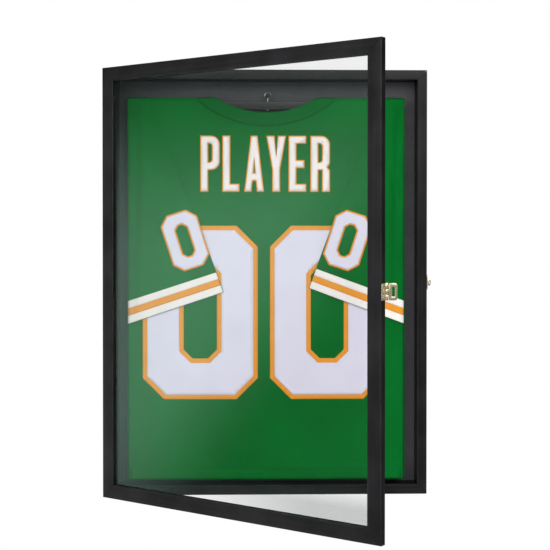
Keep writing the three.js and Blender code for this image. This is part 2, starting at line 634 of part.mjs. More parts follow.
// ---- The hanger and the shirt ----

/** The wire hook: a collar under the bar, a neck through it, and a bend that opens to the left. */
function hangerHook() {
  const bendStart = HOOK_CENTRE_Z - HOOK_BEND_RADIUS;
  const foot = BAR_BOTTOM - JOINT_GAP - HOOK_COLLAR_HEIGHT;
  const sweep = THREE.MathUtils.degToRad(HOOK_SWEEP_DEG);
  const bend = new THREE.CurvePath();
  const points = [];
  for (let i = 0; i <= HOOK_STEPS; i += 1) {
    const angle = -Math.PI / 2 + sweep * i / HOOK_STEPS;
    points.push(new THREE.Vector3(HOOK_BEND_RADIUS * Math.cos(angle), -BAR_DEPTH,
      HOOK_CENTRE_Z + HOOK_BEND_RADIUS * Math.sin(angle)));
  }
  bend.add(new THREE.CatmullRomCurve3(points));
  const section = new THREE.Shape();
  section.absarc(0, 0, HOOK_WIRE_RADIUS, 0, 2 * Math.PI);
  const wire = new THREE.ExtrudeGeometry(
    section, { steps: HOOK_STEPS, extrudePath: bend, curveSegments: ROUND_STEPS / 4 });
  const at = new THREE.Vector3(0, -BAR_DEPTH, 0);
  return solid(wire)
    .add(rod(AXIS_Z, HOOK_WIRE_RADIUS, foot, bendStart + HOOK_WIRE_RADIUS / 2, at))
    .add(rod(AXIS_Z, HOOK_COLLAR_RADIUS, foot, foot + HOOK_COLLAR_HEIGHT, at));
}

function hangerBar() {
  const half = BAR_THICKNESS / 2;
  const section = roundedRectangle([-BAR_DEPTH - half, -BAR_DEPTH + half], [BAR_BOTTOM, BAR_TOP], BAR_CORNER);
  const hole = rod(AXIS_Z, HOOK_WIRE_RADIUS + JOINT_GAP, BAR_BOTTOM - 1, BAR_TOP + 1,
    new THREE.Vector3(0, -BAR_DEPTH, 0));
  return extrusion(section, -BAR_LENGTH / 2, BAR_LENGTH / 2).subtract(hole);
}

/** The folded shirt around the bar, with the channel that the bar lies in and the neck opening. */
function shirtBody() {
  const taperEnd = BAR_BOTTOM - SHIRT_SLACK - SHIRT_CLOTH;
  const hemBack = SHIRT_FRONT + SHIRT_HEM_THICKNESS;
  const section = polygon([
    [SHIRT_FRONT, SHIRT_TOP],
    [SHIRT_FRONT, SHIRT_BOTTOM],
    [hemBack, SHIRT_BOTTOM],
    [hemBack, taperEnd - SHIRT_TAPER],
    [SHIRT_BACK, taperEnd],
    [SHIRT_BACK, SHIRT_TOP],
  ]);
  const channel = block([-CASE_WIDTH, CASE_WIDTH], [-BAR_DEPTH - CHANNEL_HALF, -BAR_DEPTH + CHANNEL_HALF],
    [BAR_BOTTOM - SHIRT_SLACK, BAR_TOP + SHIRT_SLACK]);
  const neckRadius = ((NECK_WIDTH / 2) ** 2 + NECK_DROP ** 2) / (2 * NECK_DROP);
  const neckShape = new THREE.Shape();
  neckShape.absarc(SHIRT_SHIFT, SHIRT_TOP - NECK_DROP + neckRadius, neckRadius, 0, 2 * Math.PI);
  return extrusion(section, SHIRT_SHIFT - SHIRT_WIDTH / 2, SHIRT_SHIFT + SHIRT_WIDTH / 2)
    .subtract(channel)
    .subtract(slab(neckShape, -CASE_DEPTH, 0, 3 * ROUND_STEPS));
}

/** A sleeve folded down over the front of the shirt. */
function sleeve(s) {
  const side = SHIRT_SHIFT + s * SHIRT_WIDTH / 2;
  const tipZ = SHIRT_TOP - SLEEVE_DROP;
  const corners = [
    [side, SHIRT_TOP],
    [side - s * SLEEVE_TOP_WIDTH, SHIRT_TOP],
    [side - s * SLEEVE_REACH, tipZ],
    [side - s * (SLEEVE_REACH - CUFF_INSET), tipZ - CUFF_END_HEIGHT],
    [side, tipZ - CUFF_END_HEIGHT - CUFF_RISE],
  ];
  const front = SHIRT_FRONT - JOINT_GAP - SLEEVE_THICKNESS;
  return slab(polygon(corners), front, front + SLEEVE_THICKNESS);
}

// ---- Assembly ----

function buildCase(root) {
  for (const side of ['left', 'right', 'top', 'bottom']) {
    add(root, `case_${side}_wall`, 'timber', caseWall(side));
  }
  add(root, 'back_panel', 'board', rearSheet(-PANEL_THICKNESS, 0));
  add(root, 'felt_backing', 'felt',
    rearSheet(-PANEL_THICKNESS - JOINT_GAP - FELT_THICKNESS, -PANEL_THICKNESS - JOINT_GAP));
  add(root, 'hanger_peg', 'darkSteel', pegSolid());
  addFasteners(root, 'steel', panelTacks);
  for (const [side, s] of SIDES) add(root, `${side}_keyhole_plate`, 'steel', keyholePlate(side, s));
  addFasteners(root, 'steel', keyholeScrews);
}

function buildHinges(root, door) {
  for (const [hinge, z] of HINGES) {
    const onCase = new THREE.Vector3(HINGE_X, HINGE_Y, z);
    add(root, `${hinge}_hinge_case_leaf`, 'darkSteel', hingeLeaf(1), onCase);
    add(root, `${hinge}_hinge_pin`, 'darkSteel', headedPin(HINGE_PIN_RADIUS, HINGE_HEIGHT), onCase);
    add(door, `${hinge}_hinge_door_leaf`, 'darkSteel', hingeLeaf(-1), new THREE.Vector3(0, 0, z));
  }
  addFasteners(root, 'darkSteel', caseLeafScrews);
  addFasteners(door, 'darkSteel', doorLeafScrews);
}

function buildDoor(door) {
  add(door, 'door_hinge_stile', 'timber', doorStick('left'));
  add(door, 'door_free_stile', 'timber', doorStick('right'));
  add(door, 'door_top_rail', 'timber', doorStick('top'));
  add(door, 'door_bottom_rail', 'timber', doorStick('bottom'));
  add(door, 'acrylic_panel', 'glazing', glazing());
  for (const side of ['left', 'right', 'top', 'bottom']) add(door, `${side}_bead`, 'timber', bead(side));
}

function buildHasp(root, door) {
  const axis = new THREE.Vector3(HASP_AXIS_X, 0, 0);
  add(door, 'hasp_plate', 'agedBrass', haspPlate(), axis);
  add(door, 'hasp_pin', 'agedBrass', headedPin(HASP_PIN_RADIUS, HASP_HEIGHT), axis);
  addFasteners(door, 'agedBrass', haspScrews);

  const strap = new THREE.Group();
  strap.position.copy(axis);
  strap.rotation.z = DOOR_ANGLE;
  door.add(strap);
  add(strap, 'hasp_strap', 'agedBrass', haspStrap());

  add(root, 'staple_plate', 'agedBrass', staplePlate());
  add(root, 'staple_tab', 'agedBrass', stapleTab(), new THREE.Vector3(SIDE_X, TAB_Y, 0));
  addFasteners(root, 'agedBrass', stapleScrews);
}

function buildHanger(root) {
  add(root, 'hanger_hook', 'steel', hangerHook());
  add(root, 'hanger_bar', 'bar', hangerBar());
  add(root, 'jersey_body', 'shirt', shirtBody());
  for (const [side, s] of SIDES) add(root, `jersey_${side}_sleeve`, 'shirt', sleeve(s));
}

const frame = new THREE.Group();
const door = new THREE.Group();
door.position.set(HINGE_X, HINGE_Y, 0);
door.rotation.z = -DOOR_ANGLE;
frame.add(door);

buildCase(frame);
buildHinges(frame, door);
buildDoor(door);
buildHasp(frame, door);
buildHanger(frame);

export default frame;
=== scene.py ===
"""A hinged wall case that displays a folded sports shirt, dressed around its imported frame.

The case and the glazed door are black lacquered timber, the back is felt, the catch is aged brass, and the
shirt hangs on a flat bar from a wire hook. Lengths are metres, +X right, -Y front and +Z up.
"""

import logging
import math
from dataclasses import dataclass, field
from enum import Enum
from typing import Callable, Iterable, Optional, Sequence, Union

import bmesh
import bpy
from mathutils import Matrix, Vector
from mathutils.noise import noise

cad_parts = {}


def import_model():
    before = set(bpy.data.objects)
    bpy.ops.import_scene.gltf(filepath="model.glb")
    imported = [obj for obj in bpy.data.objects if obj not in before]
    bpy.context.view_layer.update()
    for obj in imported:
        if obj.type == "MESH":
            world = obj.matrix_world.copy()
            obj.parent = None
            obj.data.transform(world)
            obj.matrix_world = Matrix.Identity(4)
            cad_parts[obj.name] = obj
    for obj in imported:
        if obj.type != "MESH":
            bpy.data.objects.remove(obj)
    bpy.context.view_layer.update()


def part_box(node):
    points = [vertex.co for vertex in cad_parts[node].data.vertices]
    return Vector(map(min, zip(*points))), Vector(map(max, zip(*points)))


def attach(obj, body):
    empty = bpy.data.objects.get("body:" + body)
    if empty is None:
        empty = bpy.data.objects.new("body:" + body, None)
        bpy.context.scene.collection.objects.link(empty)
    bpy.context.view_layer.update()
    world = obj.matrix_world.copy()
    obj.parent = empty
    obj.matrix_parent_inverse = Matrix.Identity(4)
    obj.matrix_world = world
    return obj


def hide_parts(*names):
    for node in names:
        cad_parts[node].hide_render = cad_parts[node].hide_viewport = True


LOG = logging.getLogger("display_frame")
MM = 0.001
Colour = tuple[float, float, float]
Point = tuple[float, float, float]
Outline = list[tuple[float, float]]


class Slot(Enum):
    """The finishes that the record names."""

    TIMBER = "black_timber"
    BACKING = "backing_board"
    FELT = "felt"
    ACRYLIC = "acrylic"
    BRASS = "aged_brass"
    DARK_STEEL = "dark_steel"
    BRIGHT_STEEL = "bright_steel"
    BAR = "hanger_bar"
    JERSEY = "jersey"


class Body(Enum):
    """The moving bodies of the frame."""

    CASE = "case"
    DOOR = "door"
    HASP = "hasp_strap"
    STAPLE = "staple_tab"
    HOOK = "hanger_hook"
    SHIRT = "hanging_shirt"


class Side(Enum):
    """The two sides of the shirt, as signs of X."""

    LEFT = -1
    RIGHT = 1


class Grain(Enum):
    """The direction that a stick's grain runs in."""

    UPRIGHT = "upright"
    LEVEL = "level"


# ---------------------------------------------------------------------------------------------------------
# Shader building
# ---------------------------------------------------------------------------------------------------------

Number = Union[float, "Signal"]


@dataclass(frozen=True)
class Signal:
    """A number socket that arithmetic can be written on."""

    nodes: "Nodes"
    socket: bpy.types.NodeSocket

    def _maths(self, operation: str, first: Number, second: Number) -> "Signal":
        """The value of one added Math node."""
        return self.nodes.add("ShaderNodeMath", {"operation": operation}, {0: first, 1: second}).signal()

    def __add__(self, other: Number) -> "Signal":
        """self + other."""
        return self._maths("ADD", self, other)

    __radd__ = __add__

    def __sub__(self, other: Number) -> "Signal":
        """self - other."""
        return self._maths("SUBTRACT", self, other)

    def __rsub__(self, other: Number) -> "Signal":
        """other - self."""
        return self._maths("SUBTRACT", other, self)

    def __mul__(self, other: Number) -> "Signal":
        """self * other."""
        return self._maths("MULTIPLY", self, other)

    __rmul__ = __mul__

    def power(self, exponent: Number) -> "Signal":
        """self raised to exponent."""
        return self._maths("POWER", self, exponent)

    def sine(self) -> "Signal":
        """The sine of self."""
        return self._maths("SINE", self, 0.0)

    def at_most(self, other: Number) -> "Signal":
        """The smaller of the two."""
        return self._maths("MINIMUM", self, other)


@dataclass(frozen=True)
class Made:
    """One node that has been added, with ways to read its outputs."""

    nodes: "Nodes"
    node: bpy.types.Node

    def out(self, name: Union[str, int] = 0) -> bpy.types.NodeSocket:
        """An output socket, by name or number."""
        return self.node.outputs[name]

    def signal(self, name: Union[str, int] = 0) -> Signal:
        """An output as a number that takes arithmetic."""
        return Signal(self.nodes, self.out(name))


@dataclass
class Nodes:
    """The node tree of one material, or of the world."""

    tree: bpy.types.NodeTree

    def add(self, kind: str, settings: Optional[dict] = None, values: Optional[dict] = None) -> Made:
        """Adds a node.

        Args:
            kind: The node's type.
            settings: Attributes that are set before its sockets; "stops" sets a colour ramp.
            values: Numbers, colours or links for its input sockets.

        Returns:
            The node that was added.
        """
        node = self.tree.nodes.new(kind)
        for name, value in (settings or {}).items():
            if name == "stops":
                self._set_stops(node, value)
            else:
                setattr(node, name, value)
        for name, value in (values or {}).items():
            self._feed(node.inputs[name], value)
        return Made(self, node)

    def _set_stops(self, node: bpy.types.Node, stops: Sequence[tuple[float, Colour]]) -> None:
        """Gives a colour ramp its stops.

        Args:
            node: The ramp's node.
            stops: Each stop's place and colour.
        """
        elements = node.color_ramp.elements
        while len(elements) < len(stops):
            elements.new(1.0)
        for element, (place, colour) in zip(elements, stops):
            element.position = place
            element.color = (*colour, 1.0)

    def _feed(self, socket: bpy.types.NodeSocket, value: object) -> None:
        """Links or sets one input socket.

        Args:
            socket: The socket.
            value: A number, a colour, a signal, a node or another node's socket.
        """
        if isinstance(value, Signal):
            value = value.socket
        if isinstance(value, Made):
            value = value.out()
        if isinstance(value, bpy.types.NodeSocket):
            self.tree.links.new(value, socket)
        elif isinstance(value, tuple) and len(value) == 3 and socket.type == "RGBA":
            socket.default_value = (*value, 1.0)
        else:
            socket.default_value = value

    def place(self, scale: Point = (1.0, 1.0, 1.0), turn: float = 0.0) -> bpy.types.NodeSocket:
        """Object coordinates, turned about Z and then stretched.

        Args:
            scale: The stretch along each axis.
            turn: The turn, in radians.

        Returns:
            The coordinates.
        """
        start = self.add("ShaderNodeTexCoord").out("Object")
        turned = self.add("ShaderNodeMapping", {}, {"Vector": start, "Rotation": (0.0, 0.0, turn)}).out()
        return self.add("ShaderNodeMapping", {}, {"Vector": turned, "Scale": scale}).out()

    def flat_place(self) -> bpy.types.NodeSocket:
        """The piece's own flat cloth coordinates, in metres."""
        return self.add("ShaderNodeUVMap", {"uv_map": "cloth"}).out()

    def noise(self, place: bpy.types.NodeSocket, scale: float, detail: float = 3.0) -> Signal:
        """Fractal noise between 0 and 1."""
        values = {"Vector": place, "Scale": scale, "Detail": detail}
        return self.add("ShaderNodeTexNoise", {}, values).signal("Fac")

    def step(self, value: Number, low: float, high: float, to_low: Number = 0.0,
             to_high: Number = 1.0) -> Signal:
        """Maps a value from one range to another, held at both ends.

        Args:
            value: The value.
            low: Where it starts to change.
            high: Where it stops.
            to_low: What it is at low.
            to_high: What it is at high.

        Returns:
            The mapped value.
        """
        values = {"Value": value, "From Min": low, "From Max": high, "To Min": to_low, "To Max": to_high}
        return self.add("ShaderNodeMapRange", {"clamp": True}, values).signal()

    def smooth(self, value: Number, low: float, high: float) -> Signal:
        """Value mapped from low..high to 0..1 with soft ends."""
        values = {"Value": value, "From Min": low, "From Max": high}
        return self.add("ShaderNodeMapRange", {"interpolation_type": "SMOOTHSTEP"}, values).signal()

    def blend(self, share: Number, first: object, second: object) -> bpy.types.NodeSocket:
        """A colour between two colours."""
        mix = self.add("ShaderNodeMix", {"data_type": "RGBA"}, {0: share, 6: first, 7: second})
        return mix.out(2)

    def bump(self, height: Number, distance: float, strength: float = 1.0) -> bpy.types.NodeSocket:
        """A normal roughened by height."""
        values = {"Height": height, "Distance": distance, "Strength": strength}
        return self.add("ShaderNodeBump", {}, values).out()

    def edge_wear(self) -> Signal:
        """1 on the faces of eased edges and 0 on flats."""
        return self.add("ShaderNodeAttribute", {"attribute_name": "worn"}).signal("Fac")

    def surface(self, **values: object) -> Made:
        """The Principled shader, with its sockets named by words joined with _."""
        named = {name.replace("_", " "): value for name, value in values.items()}
        return self.add("ShaderNodeBsdfPrincipled", {}, named)

    def finish(self, shader: Made, output: str = "ShaderNodeOutputMaterial") -> None:
        """Sends a shader to the output."""
        self.add(output, {}, {"Surface": shader})


@dataclass(frozen=True)
class Finish:
    """A material of the object; each kind fills in its own nodes."""

    name: str

    def material(self) -> bpy.types.Material:
        """Makes the material once and returns it.

        Returns:
            The material.
        """
        found = bpy.data.materials.get("finish_" + self.name)
        if found is not None:
            return found
        made = bpy.data.materials.new("finish_" + self.name)
        made.use_nodes = True
        made.node_tree.nodes.clear()
        self.fill(Nodes(made.node_tree))
        return made

    def fill(self, nodes: Nodes) -> None:
        """Adds this finish's nodes."""
        raise NotImplementedError


@dataclass(frozen=True)
class LacqueredTimber(Finish):
    """Satin black lacquer over fine straight grain."""

    grain: Grain = Grain.UPRIGHT
    turn: float = 0.0
    colour: Colour = (0.0046, 0.0044, 0.0053)
    worn: Colour = (0.030, 0.029, 0.031)
    rough: float = 0.42
    uneven: float = 0.10
    across: float = 260.0
    along: float = 5.0
    pores: float = 2.7
    mottles: float = 14.0
    rubs: float = 60.0
    wear: float = 0.55
    depth: float = 0.10 * MM

    def fill(self, nodes: Nodes) -> None:
        """Grain lines, faint mottling, and lighter worn edges.

        Args:
            nodes: The material's nodes.
        """
        stretch = (self.across, self.across, self.along)
        grain = nodes.place(stretch if self.grain is Grain.UPRIGHT else stretch[::-1], self.turn)
        lines = nodes.noise(grain, 1.0, 4.0)
        pores = nodes.step(nodes.noise(grain, self.pores, 2.0), 0.32, 0.44)
        mottle = nodes.noise(nodes.place(), self.mottles)
        wear = nodes.edge_wear() * nodes.step(nodes.noise(nodes.place(), self.rubs), 0.35, 0.6)
        base = nodes.blend(nodes.step(mottle + lines * 0.5, 0.5, 1.0, 0.0, 0.45), self.colour, self.worn)
        colour = nodes.blend(wear * self.wear, base, self.worn)
        rough = self.rough + (lines - 0.5) * self.uneven + (mottle - 0.5) * self.uneven
        normal = nodes.bump(lines * 0.5 + pores * 0.5, self.depth, 0.55)
        nodes.finish(nodes.surface(Base_Color=colour, Roughness=rough, Normal=normal, Coat_Weight=0.05,
                                   Coat_Roughness=0.30, Specular_IOR_Level=0.16))


@dataclass(frozen=True)
class Hardboard(Finish):
    """Pressed brown board with a pebbled rear face."""

    dark: Colour = (0.085, 0.046, 0.022)
    light: Colour = (0.21, 0.125, 0.066)
    fibres: float = 520.0
    clouds: float = 34.0
    pebbles: float = 900.0
    rough: float = 0.78
    depth: float = 0.25 * MM

    def fill(self, nodes: Nodes) -> None:
        """Fibres of several browns over a fine mesh texture.

        Args:
            nodes: The material's nodes.
        """
        fibres = nodes.noise(nodes.place(), self.fibres, 5.0)
        clouds = nodes.noise(nodes.place(), self.clouds, 6.0)
        colour = nodes.blend(nodes.step(fibres * 0.9 + clouds * 0.3, 0.38, 0.82), self.dark, self.light)
        values = {"Vector": nodes.place(), "Scale": self.pebbles}
        cells = nodes.add("ShaderNodeTexVoronoi", {}, values).signal("Distance")
        nodes.finish(nodes.surface(Base_Color=colour, Roughness=self.rough + (fibres - 0.5) * 0.2,
                                   Normal=nodes.bump(cells * 0.7 + fibres, self.depth, 0.7)))


@dataclass(frozen=True)
class Felt(Finish):
    """Charcoal felt with short fibres lying every way."""

    dark: Colour = (0.040, 0.039, 0.042)
    light: Colour = (0.105, 0.104, 0.110)
    upright: Point = (1400.0, 1400.0, 500.0)
    level: Point = (500.0, 1400.0, 1500.0)
    patches: float = 11.0
    depth: float = 0.4 * MM

    def fill(self, nodes: Nodes) -> None:
        """Two layers of fibres, with patches where the pile leans.

        Args:
            nodes: The material's nodes.
        """
        fibres = nodes.noise(nodes.place(self.upright), 1.0, 6.0)
        crossing = nodes.noise(nodes.place(self.level), 1.0, 6.0)
        patches = nodes.noise(nodes.place(), self.patches)
        pile = fibres * 0.5 + crossing * 0.5
        colour = nodes.blend(nodes.step(pile + (patches - 0.5) * 0.3, 0.3, 0.72), self.dark, self.light)
        nodes.finish(nodes.surface(Base_Color=colour, Roughness=0.95, Sheen_Weight=0.06, Sheen_Roughness=0.45,
                                   Specular_IOR_Level=0.2, Normal=nodes.bump(pile, self.depth, 0.9)))


@dataclass(frozen=True)
class ClearSheet(Finish):
    """A clear polished sheet whose reflections are tinted green, painted light that brightens the shirt
    behind it, with painted shade darkening its lower free corner.
    """

    tint: Colour = (0.965, 0.962, 0.967)
    # Painted light: the green tint of the sheet's reflections stands in for brighter light on the shirt
    # behind it.
    painted_green_reflection: Colour = (0.61, 1.0, 0.82)
    head_on: float = 0.040
    glancing_power: float = 5.0
    smear_stretch: Point = (6.0, 6.0, 2.5)
    smear: float = 0.006
    rough: float = 0.035
    haze: float = 0.003
    # Painted shade: more dark gloss towards the lower free corner darkens the sheet there.
    painted_shade: float = 0.19
    painted_shade_top: float = -0.322
    painted_shade_bottom: float = -0.350
    painted_shade_left: float = -0.12
    painted_shade_right: float = 0.06

    def fill(self, nodes: Nodes) -> None:
        """Mostly clear, with more gloss at a glancing angle, slight smears, and painted shade at the lower
        free corner.

        Args:
            nodes: The material's nodes.
        """
        clear = nodes.add("ShaderNodeBsdfTransparent", {}, {"Color": self.tint})
        smears = nodes.noise(nodes.place(self.smear_stretch), 1.0, 4.0)
        # The gloss takes the green painted reflection colour.
        gloss = nodes.surface(Base_Color=self.painted_green_reflection, Roughness=self.rough + smears * 0.05, Metallic=1.0)
        facing = nodes.add("ShaderNodeLayerWeight", {}, {"Blend": 0.5}).signal("Facing")
        glance = facing.power(self.glancing_power) * (1.0 - self.head_on) + self.head_on
        place = nodes.add("ShaderNodeSeparateXYZ", {}, {0: nodes.place()})
        # Painted shade: the share of dark gloss grows towards the lower free corner.
        low = nodes.step(place.signal("Z"), self.painted_shade_top, self.painted_shade_bottom)
        painted_shade = low * nodes.step(place.signal("X"), self.painted_shade_left, self.painted_shade_right) * self.painted_shade
        share = (glance + self.haze + (smears - 0.5) * self.smear + painted_shade).at_most(1.0)
        mix = nodes.add("ShaderNodeMixShader", {}, {0: share, 1: clear.out(), 2: gloss.out()})
        nodes.finish(mix)


@dataclass(frozen=True)
class Metal(Finish):
    """A worked metal: plated, blackened or aged."""

    bright: Colour = (0.5, 0.5, 0.51)
    dull: Colour = (0.25, 0.25, 0.26)
    rough: float = 0.3
    tarnish: float = 0.5
    metallic: float = 1.0
    brushing: Point = (300.0, 300.0, 2600.0)
    patches: float = 420.0
    depth: float = 0.04 * MM

    def fill(self, nodes: Nodes) -> None:
        """Fine brushing, patches of tarnish, and brighter rubbed edges.

        Args:
            nodes: The material's nodes.
        """
        brush = nodes.noise(nodes.place(self.brushing), 1.0, 4.0)
        patches = nodes.noise(nodes.place(), self.patches, 5.0)
        dirt = nodes.step(patches, 0.42, 0.66) * self.tarnish
        rubbed = nodes.edge_wear() * 0.8
        colour = nodes.blend(rubbed, nodes.blend(dirt, self.bright, self.dull), self.bright)
        rough = (self.rough + dirt * 0.28 + (brush - 0.5) * 0.12).at_most(0.9)
        nodes.finish(nodes.surface(Base_Color=colour, Roughness=rough, Metallic=self.metallic,
                                   Normal=nodes.bump(brush * 0.5 + patches * 0.5, self.depth, 0.6)))


@dataclass(frozen=True)
class PaintedBar(Finish):
    """Satin black paint with rubbed edges."""

    colour: Colour = (0.0105, 0.0092, 0.0095)
    scuffed: Colour = (0.026, 0.023, 0.023)
    rubbed: Colour = (0.06, 0.055, 0.054)
    peel: float = 700.0
    scuffs: Point = (12.0, 90.0, 90.0)
    rough: float = 0.40
    depth: float = 0.06 * MM

    def fill(self, nodes: Nodes) -> None:
        """Orange-peel bump and rubbed edges.

        Args:
            nodes: The material's nodes.
        """
        peel = nodes.noise(nodes.place(), self.peel, 2.0)
        scuffs = nodes.noise(nodes.place(self.scuffs), 1.0, 4.0)
        base = nodes.blend(nodes.step(scuffs, 0.5, 0.8, 0.0, 0.6), self.colour, self.scuffed)
        colour = nodes.blend(nodes.edge_wear() * 0.6, base, self.rubbed)
        nodes.finish(nodes.surface(Base_Color=colour, Roughness=self.rough + (scuffs - 0.5) * 0.2,
                                   Normal=nodes.bump(peel, self.depth, 0.5)))


@dataclass(frozen=True)
class Knit(Finish):
    """Knitted sports cloth: columns of small loops, with pin holes between them."""

    base: Colour = (0.0008, 0.160, 0.023)
    deep: Colour = (0.0003, 0.100, 0.012)
    pitch: float = 2.1 * MM
    squat: float = 0.86
    rough: float = 0.74
    depth: float = 0.22 * MM

    def fill(self, nodes: Nodes) -> None:
        """Loops on the cloth's own coordinates, and slow changes in dye.

        Args:
            nodes: The material's nodes.
        """
        flat = nodes.flat_place()
        turns = 2 * math.pi / self.pitch
        split = nodes.add("ShaderNodeSeparateXYZ", {}, {0: flat})
        across, along = split.signal("X"), split.signal("Y")
        wobble = (nodes.noise(flat, 60.0) - 0.5) * 0.8
        columns = (across * turns + wobble).sine()
        rows = (along * (turns * self.squat) + columns * 0.9 + wobble).sine()
        loops = columns * 0.35 + rows * 0.35 + 0.5
        holes = nodes.step(columns * 0.5 + rows * 0.5, -1.0, -0.55)
        dye = nodes.noise(flat, 7.0) * 0.6 + nodes.noise(flat, 900.0, 2.0) * 0.4
        thread = nodes.blend(nodes.step(dye, 0.32, 0.72), self.deep, self.base)
        colour = nodes.blend(nodes.step(loops * holes, 0.0, 0.8, 0.62, 1.0), self.deep, thread)
        nodes.finish(nodes.surface(Base_Color=colour, Roughness=self.rough + (dye - 0.5) * 0.2,
                                   Sheen_Weight=0.012, Sheen_Roughness=0.4, Specular_IOR_Level=0.05,
                                   Normal=nodes.bump(loops * holes, self.depth, 0.75)))


@dataclass(frozen=True)
class Rib(Finish):
    """Ribbed knit: upright cords along the piece's own length."""

    base: Colour = (0.001, 0.132, 0.019)
    deep: Colour = (0.0004, 0.062, 0.008)
    pitch: float = 2.4 * MM
    fuzz: float = 800.0
    rough: float = 0.78
    depth: float = 0.35 * MM

    def fill(self, nodes: Nodes) -> None:
        """Ribs across the cloth's first coordinate.

        Args:
            nodes: The material's nodes.
        """
        flat = nodes.flat_place()
        across = nodes.add("ShaderNodeSeparateXYZ", {}, {0: flat}).signal("X")
        ribs = (across * (2 * math.pi / self.pitch)).sine() * 0.5 + 0.5
        fuzz = nodes.noise(flat, self.fuzz, 3.0)
        colour = nodes.blend(nodes.step(ribs * 0.75 + fuzz * 0.35, 0.1, 0.8), self.deep, self.base)
        nodes.finish(nodes.surface(Base_Color=colour, Roughness=self.rough + (fuzz - 0.5) * 0.15,
                                   Sheen_Weight=0.025, Sheen_Roughness=0.4, Specular_IOR_Level=0.07,
                                   Normal=nodes.bump(ribs + fuzz * 0.3, self.depth, 0.8)))


@dataclass(frozen=True)
class Twill(Finish):
    """Sewn-on twill: fine slanting threads with a slight sheen."""

    base: Colour
    deep: Colour
    pitch: float = 1.1 * MM
    soil: float = 22.0
    rough: float = 0.62
    depth: float = 0.10 * MM

    def fill(self, nodes: Nodes) -> None:
        """Slanting ridges crossed by threads.

        Args:
            nodes: The material's nodes.
        """
        split = nodes.add("ShaderNodeSeparateXYZ", {}, {0: nodes.place()})
        across, along = split.signal("X"), split.signal("Z")
        turns = 2 * math.pi / self.pitch
        ridges = ((across + along) * turns).sine() * 0.5 + 0.5
        threads = ((across - along) * (turns * 0.5)).sine() * 0.5 + 0.5
        soil = nodes.noise(nodes.place(), self.soil)
        weave = ridges * 0.7 + threads * 0.3
        share = nodes.step(weave * 0.7 + soil * 0.5, 0.2, 0.9)
        colour = nodes.blend(share, self.deep, self.base)
        nodes.finish(nodes.surface(Base_Color=colour, Roughness=self.rough + (soil - 0.5) * 0.2,
                                   Sheen_Weight=0.02, Specular_IOR_Level=0.12,
                                   Normal=nodes.bump(weave, self.depth, 0.6)))


@dataclass(frozen=True)
class StudioFloor(Finish):
    """Plain pale floor."""

    dark: Colour = (0.80, 0.80, 0.80)
    light: Colour = (0.84, 0.84, 0.84)
    patches: float = 3.0
    rough: float = 0.7

    def fill(self, nodes: Nodes) -> None:
        """Almost flat, with the faintest mottling.

        Args:
            nodes: The material's nodes.
        """
        patches = nodes.noise(nodes.place(), self.patches)
        colour = nodes.blend(patches, self.dark, self.light)
        nodes.finish(nodes.surface(Base_Color=colour, Roughness=self.rough + patches * 0.1))


GOLD = Twill("gold_twill", (0.80, 0.33, 0.035), (0.62, 0.22, 0.018))
WHITE = Twill("white_twill", (0.715, 0.70, 0.80), (0.585, 0.57, 0.68))
WARM_WHITE = Twill("warm_white_twill", (0.87, 0.83, 0.79), (0.71, 0.67, 0.64))
KNIT = Knit("green_knit")
RIB = Rib("green_rib")
GREEN_THREAD = Twill("green_thread", (0.006, 0.19, 0.05), (0.002, 0.10, 0.02), 0.7 * MM)
WHITE_THREAD = Twill("white_thread", (0.80, 0.79, 0.80), (0.55, 0.55, 0.57), 0.7 * MM)
BRASS = Metal("aged_brass", (0.93, 0.83, 0.58), (0.34, 0.27, 0.15), 0.24, 0.45, 0.86)
DARK_STEEL = Metal("dark_steel", (0.07, 0.07, 0.073), (0.03, 0.03, 0.031), 0.38, 0.6, 0.8)
BRIGHT_STEEL = Metal("bright_steel", (0.58, 0.58, 0.59), (0.30, 0.30, 0.31), 0.26, 0.45)


# ---------------------------------------------------------------------------------------------------------
# Making pieces
# ---------------------------------------------------------------------------------------------------------


def smooth_between(value: float, low: float, high: float) -> float:
    """0 up to low, 1 from high on, and smooth between them."""
    share = min(1.0, max(0.0, (value - low) / (high - low)))
    return share * share * (3 - 2 * share)


